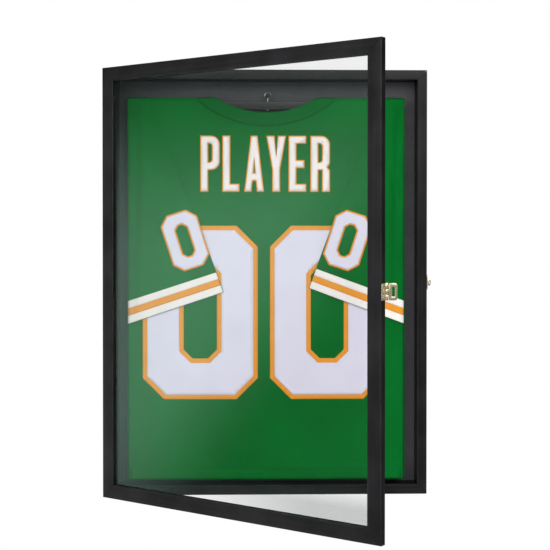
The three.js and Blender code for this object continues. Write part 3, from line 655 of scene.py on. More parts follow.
@dataclass
class Bench:
    """Turns finished meshes into pieces that ride on the frame's bodies."""

    narrow: float = 0.9 * MM
    crease: float = math.radians(32)
    level: float = math.radians(0.6)
    same: float = 0.002 * MM
    made: list[str] = field(default_factory=list)

    def piece(self, name: str, shape: bmesh.types.BMesh, finish: Finish, slot: Slot, body: Body,
              replaced: Iterable[str] = ()) -> bpy.types.Object:
        """Makes an object of a finished shape.

        Args:
            name: The piece's name.
            shape: Its mesh, already in place; it is freed here.
            finish: Its material.
            slot: The record's finish that it follows; not used.
            body: The body that it rides on.
            replaced: The plain nodes that it stands for.

        Returns:
            The new object.
        """
        mesh = bpy.data.meshes.new(name)
        shape.to_mesh(mesh)
        shape.free()
        mesh.materials.append(finish.material())
        mesh.shade_smooth()
        mesh.set_sharp_from_angle(angle=self.crease)
        item = bpy.data.objects.new(name, mesh)
        bpy.context.scene.collection.objects.link(item)
        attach(item, body.value)
        if replaced:
            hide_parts(*replaced)
        self.made.append(name)
        LOG.info("%s: %d faces on %s", name, len(mesh.polygons), body.value)
        return item

    def worked(self, node: str, finish: Finish, slot: Slot, body: Body,
               ease: float = 0.0) -> bpy.types.Object:
        """A finished piece with the shape of a plain node and softened edges.

        Args:
            node: The plain node.
            finish: Its material.
            slot: The record's finish that it follows; passed on to piece, which does not use it.
            body: The body that it rides on.
            ease: The width of the softened edges, or 0 for none.

        Returns:
            The new object, which replaces the node.
        """
        shape = bmesh.new()
        shape.from_mesh(bpy.data.objects[node].data)
        bmesh.ops.remove_doubles(shape, verts=shape.verts, dist=self.same)
        bmesh.ops.dissolve_limit(shape, angle_limit=self.level, verts=shape.verts, edges=shape.edges)
        if ease:
            sharp = [edge for edge in shape.edges
                     if edge.is_manifold and edge.calc_face_angle() > self.crease]
            bmesh.ops.bevel(shape, geom=sharp, offset=ease, offset_type="OFFSET", affect="EDGES", segments=2,
                            profile=0.5, material=-1, clamp_overlap=True)
        worn = shape.faces.layers.float.new("worn")
        for face in shape.faces:
            longest = max(edge.calc_length() for edge in face.edges)
            face[worn] = 1.0 if face.calc_area() < self.narrow * longest else 0.0
        return self.piece(node + "_finished", shape, finish, slot, body, [node])


def grid(width: float, height: float, step: float) -> bmesh.types.BMesh:
    """A flat sheet in X and Y, centred on the origin, with its cloth coordinates.

    Args:
        width: Its size along X.
        height: Its size along Y.
        step: The size of its squares.

    Returns:
        The sheet.
    """
    shape = bmesh.new()
    across, along = max(1, round(width / step)), max(1, round(height / step))
    size = Matrix.Diagonal((width, height, 1.0, 1.0))
    bmesh.ops.create_grid(shape, x_segments=across, y_segments=along, size=0.5, matrix=size)
    mark_cloth(shape)
    return shape


def mark_cloth(shape: bmesh.types.BMesh) -> None:
    """Stores where each corner lies on the flat cloth, from X and Y.

    Args:
        shape: The flat sheet.
    """
    layer = shape.loops.layers.uv.new("cloth")
    for face in shape.faces:
        for loop in face.loops:
            loop[layer].uv = loop.vert.co.xy


def grown(outline: Outline, distance: float) -> Outline:
    """An outline moved outwards by a distance, with its corners kept sharp.

    Args:
        outline: Its corners; anticlockwise round material, or clockwise round a hole.
        distance: How far every edge moves away from the material.

    Returns:
        The new corners.
    """
    moved = []
    corners = [Vector(point) for point in outline]
    for index, corner in enumerate(corners):
        before = (corner - corners[index - 1]).normalized()
        after = (corners[(index + 1) % len(corners)] - corner).normalized()
        out_before, out_after = Vector((before.y, -before.x)), Vector((after.y, -after.x))
        mitre = out_before + out_after
        moved.append(tuple(corner + mitre * (distance / max(0.2, 1 + out_before.dot(out_after)))))
    return moved


def arc(centre: tuple[float, float], radius: float, start: float, end: float, steps: int = 6) -> Outline:
    """Points along an arc, from one angle in degrees to another."""
    turns = [math.radians(start + (end - start) * index / steps) for index in range(steps + 1)]
    return [(centre[0] + radius * math.cos(turn), centre[1] + radius * math.sin(turn)) for turn in turns]


def filled(outlines: Sequence[Outline], step: float) -> bmesh.types.BMesh:
    """A flat sheet inside some outlines, divided into squares so that it can follow cloth.

    Args:
        outlines: Outer edges and holes.
        step: The size of the squares.

    Returns:
        The sheet, in X and Y.
    """
    shape = bmesh.new()
    for outline in outlines:
        corners = [shape.verts.new((x, y, 0.0)) for x, y in outline]
        for index, corner in enumerate(corners):
            shape.edges.new((corners[index - 1], corner))
    bmesh.ops.triangle_fill(shape, use_beauty=True, edges=shape.edges, normal=(0.0, 0.0, 1.0))
    for axis in (Vector((1, 0, 0)), Vector((0, 1, 0))):
        places = [vert.co.dot(axis) for vert in shape.verts]
        place = math.floor(min(places) / step) * step + step
        while place < max(places):
            geometry = shape.verts[:] + shape.edges[:] + shape.faces[:]
            bmesh.ops.bisect_plane(shape, geom=geometry, dist=1e-7, plane_co=axis * place, plane_no=axis)
            place += step
    bmesh.ops.recalc_face_normals(shape, faces=shape.faces)
    if shape.faces[:] and shape.faces[:][0].normal.z < 0:
        bmesh.ops.reverse_faces(shape, faces=shape.faces)
    mark_cloth(shape)
    return shape


# ---------------------------------------------------------------------------------------------------------
# The case, the door and their fittings
# ---------------------------------------------------------------------------------------------------------


@dataclass
class Case:
    """The box: four walls, its back, its lining and what hangs it on a wall."""

    bench: Bench

    def build(self) -> None:
        """Dresses the case's pieces."""
        upright = LacqueredTimber("case_stile_timber", Grain.UPRIGHT)
        level = LacqueredTimber("case_rail_timber", Grain.LEVEL)
        for side in ("left", "right"):
            self.bench.worked(f"case_{side}_wall", upright, Slot.TIMBER, Body.CASE)
            self.bench.worked(f"{side}_keyhole_plate", BRIGHT_STEEL, Slot.BRIGHT_STEEL, Body.CASE, 0.15 * MM)
            for end in ("upper", "lower"):
                self.bench.worked(f"{side}_keyhole_screw_{end}", BRIGHT_STEEL, Slot.BRIGHT_STEEL, Body.CASE)
            for place in ("top", "middle", "bottom"):
                self.bench.worked(f"{side}_panel_tack_{place}", DARK_STEEL, Slot.DARK_STEEL, Body.CASE)
        for end in ("top", "bottom"):
            self.bench.worked(f"case_{end}_wall", level, Slot.TIMBER, Body.CASE)
        self.bench.worked("back_panel", Hardboard("backing_board"), Slot.BACKING, Body.CASE, 0.3 * MM)
        self.bench.worked("felt_backing", Felt("charcoal_felt"), Slot.FELT, Body.CASE)
        self.bench.worked("hanger_peg", DARK_STEEL, Slot.DARK_STEEL, Body.CASE, 0.2 * MM)
        self._fittings()

    def _fittings(self) -> None:
        """Hinge leaves and pins, and the staple, with their screws."""
        for end in ("upper", "lower"):
            self.bench.worked(f"{end}_hinge_case_leaf", DARK_STEEL, Slot.DARK_STEEL, Body.CASE, 0.15 * MM)
            self.bench.worked(f"{end}_hinge_pin", DARK_STEEL, Slot.DARK_STEEL, Body.CASE)
            for place in ("upper", "lower"):
                screw = f"{end}_hinge_case_screw_{place}"
                self.bench.worked(screw, DARK_STEEL, Slot.DARK_STEEL, Body.CASE)
        self.bench.worked("staple_plate", BRASS, Slot.BRASS, Body.CASE, 0.3 * MM)
        for place in ("upper", "lower"):
            self.bench.worked(f"staple_screw_{place}", BRASS, Slot.BRASS, Body.CASE)
        self.bench.worked("staple_tab", BRASS, Slot.BRASS, Body.STAPLE, 0.25 * MM)


@dataclass
class Door:
    """The glazed door with its beads, hinge leaves and hasp."""

    bench: Bench

    def rest_turn(self) -> float:
        """How far the door stands open in the frame.

        Returns:
            The angle in radians.
        """
        first, second = (sum(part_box(f"door_{name}_stile"), Vector()) / 2 for name in ("hinge", "free"))
        across = second - first
        return math.atan2(-across.y, across.x)

    def build(self) -> None:
        """Dresses the door's pieces."""
        turn = self.rest_turn()
        upright = LacqueredTimber("door_stile_timber", Grain.UPRIGHT, turn=turn)
        level = LacqueredTimber("door_rail_timber", Grain.LEVEL, turn=turn)
        for name in ("hinge", "free"):
            self.bench.worked(f"door_{name}_stile", upright, Slot.TIMBER, Body.DOOR)
        for name in ("top", "bottom"):
            self.bench.worked(f"door_{name}_rail", level, Slot.TIMBER, Body.DOOR)
            self.bench.worked(f"{name}_bead", level, Slot.TIMBER, Body.DOOR, 0.5 * MM)
        for name in ("left", "right"):
            self.bench.worked(f"{name}_bead", upright, Slot.TIMBER, Body.DOOR, 0.5 * MM)
        self.bench.worked("acrylic_panel", ClearSheet("clear_sheet"), Slot.ACRYLIC, Body.DOOR)
        for end in ("upper", "lower"):
            self.bench.worked(f"{end}_hinge_door_leaf", DARK_STEEL, Slot.DARK_STEEL, Body.DOOR, 0.15 * MM)
            for place in ("upper", "lower"):
                self.bench.worked(f"{end}_hinge_door_screw_{place}", DARK_STEEL, Slot.DARK_STEEL, Body.DOOR)
        self.bench.worked("hasp_plate", BRASS, Slot.BRASS, Body.DOOR, 0.3 * MM)
        self.bench.worked("hasp_pin", BRASS, Slot.BRASS, Body.DOOR)
        for place in ("upper", "lower"):
            self.bench.worked(f"hasp_screw_{place}", BRASS, Slot.BRASS, Body.DOOR)
        self.bench.worked("hasp_strap", BRASS, Slot.BRASS, Body.HASP, 0.3 * MM)


@dataclass
class Hanger:
    """The wire hook and the flat bar that carry the shirt."""

    bench: Bench

    def build(self) -> None:
        """Dresses the hanger."""
        self.bench.worked("hanger_hook", BRIGHT_STEEL, Slot.BRIGHT_STEEL, Body.HOOK)
        self.bench.worked("hanger_bar", PaintedBar("painted_bar"), Slot.BAR, Body.SHIRT)


# ---------------------------------------------------------------------------------------------------------
# The shirt
# ---------------------------------------------------------------------------------------------------------


@dataclass(frozen=True)
class Crease:
    """A shallow line pressed into the cloth, from one X to another."""

    start: float
    end: float
    height: float
    slant: float
    depth: float

    def at(self, x: float, z: float, half: float) -> float:
        """How deep the line is at a place.

        Args:
            x: Across.
            z: Up.
            half: Half the line's width.

        Returns:
            The depth.
        """
        across = (x - self.start) / (self.end - self.start)
        if not 0.0 < across < 1.0:
            return 0.0
        line = self.height + (x - self.start) * self.slant
        return self.depth * math.sin(math.pi * across) * math.exp(-((z - line) / half) ** 2)


@dataclass
class Drape:
    """The surface that the hanging shirt takes, in front of and behind its bar."""

    neck_half: float = 95 * MM
    neck_depth: float = 28 * MM
    plain_neck_depth: float = 72 * MM
    side_turn: float = 8 * MM
    waist: float = 8 * MM
    taper_top: float = 22 * MM
    taper_end: float = 60 * MM
    fold_out: float = 236 * MM
    fold_sway: float = 5.5 * MM
    fold_step: float = 4.8 * MM
    fold_width: float = 12 * MM
    ridge: float = 1.7 * MM
    ridge_in: float = 7 * MM
    ridge_half: float = 10 * MM
    valley: float = 3.0 * MM
    valley_out: float = 14.5 * MM
    valley_half: float = 5 * MM
    fold_low: float = -160 * MM
    fold_high: float = 20 * MM
    pinch: float = 4.4 * MM
    pinch_out: float = 246 * MM
    pinch_z: float = 175 * MM
    pinch_half: float = 8.5 * MM
    pinch_tall: float = 30 * MM
    slow: float = 1.9 * MM
    hang: float = 1.2 * MM
    pull: float = 2.0 * MM
    small: float = 0.28 * MM
    calm_from: float = 35 * MM
    calm_to: float = 2 * MM
    crease_half: float = 4.5 * MM
    creases: tuple[Crease, ...] = (
        Crease(-0.145, 0.065, 0.154, 0.03, 0.75 * MM), Crease(-0.255, -0.115, 0.276, -0.10, 0.70 * MM),
        Crease(-0.235, -0.150, 0.205, 0.35, 0.80 * MM), Crease(-0.100, 0.160, -0.262, -0.04, 0.60 * MM),
        Crease(-0.210, 0.030, -0.350, 0.01, 0.90 * MM), Crease(0.040, 0.240, -0.338, -0.03, 0.90 * MM))

    def __post_init__(self) -> None:
        """Takes the places from the frame."""
        low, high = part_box("jersey_body")
        self.middle = (low.x + high.x) / 2
        self.half = (high.x - low.x) / 2
        self.hem, self.top = low.z, high.z
        self.roll = (high.y - low.y) / 2
        self.axis_y = (high.y + low.y) / 2
        self.axis_z = self.top - self.roll

    def neck_radius(self, depth: float) -> float:
        """The radius of a neckline with a given depth."""
        return (self.neck_half ** 2 + depth ** 2) / (2 * depth)

    def neck_z(self, x: float, depth: float) -> float:
        """The height of the cloth's upper edge.

        Args:
            x: Where, across the shirt.
            depth: How deep the neckline is.

        Returns:
            The neckline's height, or the shoulder's outside it.
        """
        across = abs(x - self.middle)
        if across >= self.neck_half:
            return self.top
        radius = self.neck_radius(depth)
        return self.top - depth + radius - math.sqrt(radius ** 2 - across ** 2)

    def folds(self, x: float, z: float) -> float:
        """How far the cloth lies back from flat.

        Args:
            x: Across.
            z: Up.

        Returns:
            The depth; negative is forward.
        """
        way = 1.0 if x > self.middle else -1.0
        out = abs(x - self.middle)
        line = self.fold_out - self.fold_sway * math.sin(5.0 * z + (1.7 if way > 0 else 0.0))
        waning = 0.62 + 0.38 * noise(Vector((way * 2.0, z * 4.5, 1.1)))
        waning *= smooth_between(z, self.fold_low, self.fold_high)
        step = self.fold_step * smooth_between(out, line, line + self.fold_width)
        ridge = self.ridge * math.exp(-((out - line + self.ridge_in) / self.ridge_half) ** 2)
        valley = self.valley * math.exp(-((out - line - self.valley_out) / self.valley_half) ** 2)
        turned = (out - self.pinch_out + (z - 0.17) * 0.25) / self.pinch_half
        pinch = self.pinch * math.exp(-turned ** 2 - ((z - self.pinch_z) / self.pinch_tall) ** 2)
        sides = (step - ridge + valley) * waning + pinch
        slow = self.slow * noise(Vector((x * 5.0, z * 2.2, 0.3)))
        hang = self.hang * noise(Vector((x * 16.0, z * 3.0, 4.1))) * smooth_between(-z, -0.25, 0.35)
        pull = self.pull * math.sin((out * 0.9 + (self.top - z) * 0.7) * 62.0)
        shoulder = pull * smooth_between(z, 0.20, 0.31) * smooth_between(out, 0.07, 0.15)
        small = self.small * noise(Vector((x * 42.0, z * 30.0, 8.8)))
        small += sum(crease.at(x, z, self.crease_half) for crease in self.creases)
        calm = 1 - smooth_between(z, self.axis_z - self.calm_from, self.axis_z + self.calm_to)
        return (sides + slow + hang + shoulder + small) * calm

    def _turn(self, x: float, z: float) -> tuple[float, float, float]:
        """How the cloth rounds over the bar and at its sides.

        Args:
            x: Across.
            z: Up.

        Returns:
            Its rise over the bar, how much it faces front, and how far its side turns in.
        """
        rise = min(1.0, max(0.0, (z - self.axis_z) / self.roll))
        flat = math.sqrt(1 - rise * rise)
        edge = min(1.0, max(0.0, (abs(x - self.middle) - self.half + self.side_turn) / self.side_turn))
        return rise, flat, 0.5 * self.waist * (1 - math.sqrt(1 - edge * edge)) * flat

    def lay(self, x: float, z: float, lift: float = 0.0) -> Vector:
        """A point on the number side, lifted away from the cloth.

        Args:
            x: Across.
            z: Up, at most the top of the shoulders.
            lift: How far it stands off the cloth.

        Returns:
            The point.
        """
        rise, flat, side = self._turn(x, z)
        y = self.axis_y - (self.roll + lift) * flat + side + self.folds(x, z)
        return Vector((x, y, z + lift * rise))

    def lay_behind(self, x: float, z: float, lift: float = 0.0) -> Vector:
        """The same on the plain side, which comes in to the waist's thickness below the bar.

        Args:
            x: Across.
            z: Up, at most the top of the shoulders.
            lift: How far it stands off the cloth.

        Returns:
            The point.
        """
        rise, flat, side = self._turn(x, z)
        below = 1 - smooth_between(z, self.top - self.taper_end, self.top - self.taper_top)
        taper = (2 * self.roll - self.waist) * below
        y = self.axis_y + (self.roll + lift) * flat - taper - side + 0.8 * self.folds(x, z)
        return Vector((x, y, z + lift * rise))


@dataclass
class Glyphs:
    """Plain block numbers and narrow capitals, as outlines."""

    stroke: float = 11.2 * MM
    height: float = 102 * MM
    width: float = 33 * MM
    leg: float = 9.5 * MM

    def zero(self, width: float, height: float, band: float, corner: float) -> list[Outline]:
        """A block zero round the origin.

        Args:
            width: Its whole width.
            height: Its whole height.
            band: The width of its strokes.
            corner: The size of its cut corners.

        Returns:
            Its outer edge and its hole.
        """
        def ring(half_x: float, half_y: float, cut: float) -> Outline:
            """An anticlockwise rectangle with cut corners.

            Args:
                half_x: Half its width.
                half_y: Half its height.
                cut: The size of its cut corners.

            Returns:
                Its corners.
            """
            return [(half_x, cut - half_y), (half_x, half_y - cut), (half_x - cut, half_y),
                    (cut - half_x, half_y), (-half_x, half_y - cut), (-half_x, cut - half_y),
                    (cut - half_x, -half_y), (half_x - cut, -half_y)]

        inner = ring(width / 2 - band, height / 2 - band, corner * 0.42)
        return [ring(width / 2, height / 2, corner), inner[::-1]]

    def _bowl(self, low: float) -> tuple[Outline, Outline]:
        """The round part of P and R.

        Args:
            low: The height of its underside.

        Returns:
            Its outer edge, and its hole.
        """
        w, h, s = self.width, self.height, self.stroke
        outer, inner = 0.45 * w, 0.22 * w
        across, within = w - outer, w - s - inner
        edge = arc((across, low + outer), outer, -90, 0) + arc((across, h - outer), outer, 0, 90)
        hole = arc((within, h - s - inner), inner, 90, 0) + arc((within, low + s + inner), inner, 0, -90)
        return edge, hole + [(s, low + s), (s, h - s)]

    def letter(self, name: str) -> list[Outline]:
        """The outlines of one capital, from its lower left corner.

        Args:
            name: One of P, L, A, Y, E and R.

        Returns:
            Its outer edge, and its hole if it has one.
        """
        w, h, s, leg = self.width, self.height, self.stroke, self.leg
        lean = (w - leg) / (2 * h)
        bowl, hole = self._bowl(0.40 * h)
        bar_low, bar_high, middle = 0.20 * h, 0.31 * h, 0.44 * h
        shapes = {
            "P": [[(0, 0), (s, 0), (s, 0.40 * h)] + bowl + [(0, h)], hole],
            "L": [[(0, 0), (0.86 * w, 0), (0.86 * w, s), (s, s), (s, h), (0, h)]],
            "A": [[(0, 0), (leg, 0), (leg + lean * bar_low, bar_low), (w - leg - lean * bar_low, bar_low),
                   (w - leg, 0), (w, 0), ((w + leg) / 2, h), ((w - leg) / 2, h)],
                  [(leg + lean * bar_high, bar_high), (w / 2, 0.66 * h),
                   (w - leg - lean * bar_high, bar_high)]],
            "Y": [[((w - s) / 2, 0), ((w + s) / 2, 0), ((w + s) / 2, 0.40 * h), (w, h), (0.64 * w, h),
                   (w / 2, 0.60 * h), (0.36 * w, h), (0, h), ((w - s) / 2, 0.40 * h)]],
            "E": [[(0, 0), (0.9 * w, 0), (0.9 * w, s), (s, s), (s, middle), (0.8 * w, middle),
                   (0.8 * w, middle + s), (s, middle + s), (s, h - s), (0.9 * w, h - s), (0.9 * w, h),
                   (0, h)]],
            "R": [[(0, 0), (s, 0), (s, 0.40 * h), (w - s, 0.40 * h), (w - s, 0), (w, 0), (w, 0.37 * h),
                   (0.86 * w, 0.43 * h)] + bowl[3:] + [(0, h)], hole],
        }
        return shapes[name]


def placed(outlines: Sequence[Outline], centre: tuple[float, float], turn: float = 0.0) -> list[Outline]:
    """Outlines turned and moved.

    Args:
        outlines: The outlines, round the origin.
        centre: Where the origin goes.
        turn: The turn in degrees.

    Returns:
        The new outlines.
    """
    cosine, sine = math.cos(math.radians(turn)), math.sin(math.radians(turn))
    return [[(centre[0] + x * cosine - y * sine, centre[1] + x * sine + y * cosine) for x, y in outline]
            for outline in outlines]


@dataclass
class Sewing:
    """Sews flat shapes and rows of stitches on to the shirt."""

    bench: Bench
    drape: Drape
    cell: float = 9 * MM
    cloth: float = 0.35 * MM
    pitch: float = 3.2 * MM
    stitch_length: float = 2.2 * MM
    stitch_width: float = 0.55 * MM
    layer: float = 0.38 * MM
    thread: float = 0.80 * MM

    def applique(self, name: str, outlines: Sequence[Outline], finish: Finish, lift: float,
                 cell: Optional[float] = None, under: str = "shirt_number_panel") -> bpy.types.Object:
        """A flat shape of cloth that follows the shirt.

        Args:
            name: The piece's name.
            outlines: Its edges and holes, in X and Z.
            finish: Its material.
            lift: How far its underside stands off the shirt.
            cell: The size of its squares.
            under: The piece that it is sewn to; not used.

        Returns:
            The new piece.
        """
        shape = filled(outlines, cell or self.cell)
        area = sum(face.calc_area() for face in shape.faces)
        corners = [point for outline in outlines for point in outline]
        spans = [max(places) - min(places) for places in zip(*corners)]
        for vert in shape.verts:
            vert.co = self.drape.lay(vert.co.x, vert.co.y, lift)
        piece = self.bench.piece(name, shape, finish, Slot.JERSEY, Body.SHIRT)
        thicken(piece, self.cloth, 1.0)
        share = area / (spans[0] * spans[1])
        area if share >= 0.3 else None
        return piece

    def row(self, shape: bmesh.types.BMesh, path: Outline, lift: float, closed: bool = False) -> None:
        """Adds a row of stitches along a path.

        Args:
            shape: Takes the stitches.
            path: Points in X and Z.
            lift: How far the stitches stand off the shirt.
            closed: Whether the path runs back to its start.
        """
        points = [Vector(point) for point in (path + path[:1] if closed else path)]
        carried = self.pitch / 2
        for start, end in zip(points, points[1:]):
            run = (end - start).length
            along = (end - start) / max(run, 1e-9)
            while carried < run:
                middle = start + along * carried
                self._stitch(shape, middle, along, lift)
                carried += self.pitch
            carried -= run

    def two_layers(self, name: str, gold: list[Outline], white: list[Outline], lift: float, inset: float,
                   cell: Optional[float] = None, under: str = "shirt_number_panel") -> None:
        """Sews on a gold shape with a narrower white one on it, stitched inside the white one's edges.

        Args:
            name: The start of the pieces' names.
            gold: The gold shape's edges and holes.
            white: The white shape's edges and holes.
            lift: How far the gold stands off the shirt.
            inset: How far inside the edges the stitches run.
            cell: The size of the shapes' squares.
            under: The piece that they are sewn to; passed on to applique, which does not use it.
        """
        self.applique(f"{name}_gold", gold, GOLD, lift, cell, under)
        self.applique(f"{name}_white", white, WHITE, lift + self.layer, cell, under)
        threads = bmesh.new()
        for outline in white:
            self.row(threads, grown(outline, -inset), lift + self.thread, True)
        self.bench.piece(f"{name}_stitches", threads, WHITE_THREAD, Slot.JERSEY, Body.SHIRT)

    def _stitch(self, shape: bmesh.types.BMesh, middle: Vector, along: Vector, lift: float) -> None:
        """Adds one stitch, which is a small stretched bead.

        Args:
            shape: Takes the stitch.
            middle: Its place, in X and Z.
            along: Its direction.
            lift: How far it stands off the shirt.
        """
        half = along * (self.stitch_length / 2)
        first = self.drape.lay(middle.x - half.x, min(middle.y - half.y, self.drape.top), lift)
        last = self.drape.lay(middle.x + half.x, min(middle.y + half.y, self.drape.top), lift)
        turn = (last - first).to_track_quat("X", "Y").to_matrix().to_4x4()
        size = Matrix.Diagonal((self.stitch_length / 2, self.stitch_width / 2, self.stitch_width / 2, 1.0))
        place = Matrix.Translation((first + last) / 2)
        bmesh.ops.create_icosphere(shape, subdivisions=1, radius=1.0, matrix=place @ turn @ size)


def thicken(piece: bpy.types.Object, thickness: float, side: float) -> None:
    """Gives a sheet its thickness.

    Args:
        piece: The sheet.
        thickness: The thickness.
        side: 1 for outwards and -1 for inwards.
    """
    solidify = piece.modifiers.new("thickness", "SOLIDIFY")
    solidify.thickness = thickness
    solidify.offset = side
    solidify.use_even_offset = False


@dataclass
class ShirtBody:
    """The two panels, their necklines and their hems."""

    bench: Bench
    drape: Drape
    sewing: Sewing
    step: float = 4.6 * MM
    cloth: float = 0.7 * MM
    rib_width: float = 26 * MM
    rib_step: float = 3.3 * MM
    rib_cloth: float = 0.9 * MM
    rib_lift: float = 0.4 * MM
    rib_crown: float = 0.9 * MM
    neck_rows: tuple[float, ...] = (2 * MM, 5.5 * MM)
    neck_thread_lift: float = 0.15 * MM
    hem_depth: float = 21 * MM
    hem_cloth: float = 0.3 * MM
    hem_lift: float = 0.15 * MM
    hem_crown: float = 0.4 * MM
    hem_rows: tuple[float, ...] = (1.5 * MM, 5 * MM)
    hem_margin: float = 14 * MM
    over_bar: int = 9

    def panel(self, name: str, depth: float, lay: Callable[[float, float], Vector], behind: bool,
              replaced: Sequence[str]) -> bpy.types.Object:
        """One panel, from its hem to the top of the shoulders.

        Args:
            name: The piece's name.
            depth: How deep its neckline is.
            lay: The surface that it takes.
            behind: Whether it is the panel behind the bar.
            replaced: The plain nodes that it stands for.

        Returns:
            The new piece.
        """
        drape = self.drape
        tall = drape.top - drape.hem
        shape = grid(2 * drape.half, tall, self.step)
        straight = (drape.axis_z - drape.hem) / tall
        share_straight = 1 - self.over_bar / round(tall / self.step)
        for vert in shape.verts:
            share = vert.co.y / tall + 0.5
            if share <= share_straight:
                height = drape.hem + tall * straight * share / share_straight
            else:
                bend = (share - share_straight) / (1 - share_straight) * math.pi / 2
                height = drape.axis_z + drape.roll * math.sin(bend)
            x = drape.middle + vert.co.x
            limit = drape.neck_z(x, depth)
            vert.co = lay(x, drape.hem + (height - drape.hem) * (limit - drape.hem) / tall)
        if behind:
            bmesh.ops.reverse_faces(shape, faces=shape.faces)
        piece = self.bench.piece(name, shape, KNIT, Slot.JERSEY, Body.SHIRT, replaced)
        thicken(piece, self.cloth, -1.0)
        return piece

    def neckband(self, name: str, depth: float, lay: Callable[[float, float, float], Vector],
                 behind: bool) -> bpy.types.Object:
        """A ribbed band round a neckline.

        Args:
            name: The piece's name.
            depth: How deep the neckline is.
            lay: The surface that it takes.
            behind: Whether it is the band behind the bar.

        Returns:
            The new piece.
        """
        drape = self.drape
        radius = drape.neck_radius(depth)
        centre = drape.top - depth + radius
        length = 2 * radius * math.asin(drape.neck_half / radius)
        shape = grid(length, self.rib_width, self.rib_step)
        for vert in shape.verts:
            out = vert.co.y / self.rib_width + 0.5
            reach = radius + out * self.rib_width
            most = math.acos((centre - drape.top) / reach) if reach > centre - drape.top else 0.0
            turn = most * vert.co.x / (length / 2)
            crown = math.sqrt(max(0.0, 1 - (2 * out - 1) ** 2))
            height = min(drape.top, centre - reach * math.cos(turn))
            lift = self.rib_lift + self.rib_crown * crown
            vert.co = lay(drape.middle + reach * math.sin(turn), height, lift)
        if not behind:
            bmesh.ops.reverse_faces(shape, faces=shape.faces)
        piece = self.bench.piece(name, shape, RIB, Slot.JERSEY, Body.SHIRT)
        thicken(piece, self.rib_cloth, -1.0)
        length * (1 + self.rib_width / radius / 2)
        return piece

    def hem(self) -> None:
        """The turned-up hem of the number panel, with two rows of stitches."""
        drape = self.drape
        wide = 2 * drape.half - 2 * drape.side_turn
        shape = grid(wide, self.hem_depth, self.step)
        for vert in shape.verts:
            share = vert.co.y / self.hem_depth + 0.5
            lift = self.hem_lift + self.hem_crown * math.sqrt(max(0.0, 1 - (2 * share - 1) ** 2))
            vert.co = drape.lay(drape.middle + vert.co.x, drape.hem + self.hem_depth * share, lift)
        piece = self.bench.piece("shirt_hem", shape, KNIT, Slot.JERSEY, Body.SHIRT)
        thicken(piece, self.hem_cloth, -1.0)

    def stitching(self) -> None:
        """Rows of green thread along the hem and under the neckband."""
        drape, shape = self.drape, bmesh.new()
        reach = drape.half - self.hem_margin
        for gap in self.hem_rows:
            height = drape.hem + self.hem_depth - gap
            ends = [(drape.middle - reach, height), (drape.middle + reach, height)]
            self.sewing.row(shape, ends, self.hem_lift + self.hem_crown)
        radius = drape.neck_radius(drape.neck_depth)
        centre = drape.top - drape.neck_depth + radius
        for gap in self.neck_rows:
            reach = radius + self.rib_width + gap
            most = math.degrees(math.acos((centre - drape.axis_z) / reach))
            path = arc((drape.middle, centre), reach, -90 - most, -90 + most, 60)
            self.sewing.row(shape, path, self.neck_thread_lift)
        self.bench.piece("shirt_seam_stitches", shape, GREEN_THREAD, Slot.JERSEY, Body.SHIRT)

    def build(self) -> None:
        """Makes the panels, neckbands, hem and their stitches."""
        drape = self.drape
        self.panel("shirt_number_panel", drape.neck_depth, drape.lay, False, ["jersey_body"])
        self.panel("shirt_plain_panel", drape.plain_neck_depth, drape.lay_behind, True, [])
        self.neckband("shirt_neckband", drape.neck_depth, drape.lay, False)
        self.neckband("shirt_plain_neckband", drape.plain_neck_depth, drape.lay_behind, True)
        self.hem()
        self.stitching()


@dataclass
class Lettering:
    """The name and the big numbers on the shirt's body."""

    sewing: Sewing
    drape: Drape
    glyphs: Glyphs = field(default_factory=Glyphs)
    name: str = "PLAYER"
    name_z: float = 173 * MM
    name_gap: float = 8.6 * MM
    name_left: float = 2 * MM
    name_border: float = 2.1 * MM
    name_thread: float = 1.2 * MM
    name_thread_lift: float = 0.75 * MM
    number_width: float = 217 * MM
    number_height: float = 328 * MM
    number_middle_z: float = -57 * MM
    number_spread: float = 120 * MM
    number_left: float = 4.5 * MM
    number_border: float = 8.6 * MM
    number_thread: float = 1.8 * MM
    number_band: float = 77.2 * MM
    number_corner: float = 40 * MM
    lift: float = 0.20 * MM

    def build(self) -> None:
        """Sews on the name and the numbers."""
        self._name()
        for side, word in ((Side.LEFT, "left"), (Side.RIGHT, "right")):
            across = self.drape.middle - self.number_left + side.value * self.number_spread
            base = self.glyphs.zero(self.number_width, self.number_height, self.number_band,
                                    self.number_corner)
            base = placed(base, (across, self.number_middle_z))
            inner = [grown(outline, -self.number_border) for outline in base]
            self.sewing.two_layers(f"number_{word}", base, inner, self.lift, self.number_thread)

    def _name(self) -> None:
        """The capitals of the name, side by side, as one piece of each colour."""
        step = self.glyphs.width + self.name_gap
        start = self.drape.middle - (step * len(self.name) - self.name_gap) / 2 - self.name_left
        gold, white, threads = [], [], bmesh.new()
        for index, letter in enumerate(self.name):
            outlines = placed(self.glyphs.letter(letter), (start + index * step, self.name_z))
            gold += [grown(outline, self.name_border) for outline in outlines]
            white += outlines
            for outline in outlines:
                path = grown(outline, -self.name_thread)
                self.sewing.row(threads, path, self.lift + self.name_thread_lift, True)
        self.sewing.applique("name_gold", gold, GOLD, self.lift)
        self.sewing.applique("name_white", white, WARM_WHITE, self.lift + self.sewing.layer)
        self.sewing.bench.piece("name_stitches", threads, WHITE_THREAD, Slot.JERSEY, Body.SHIRT)


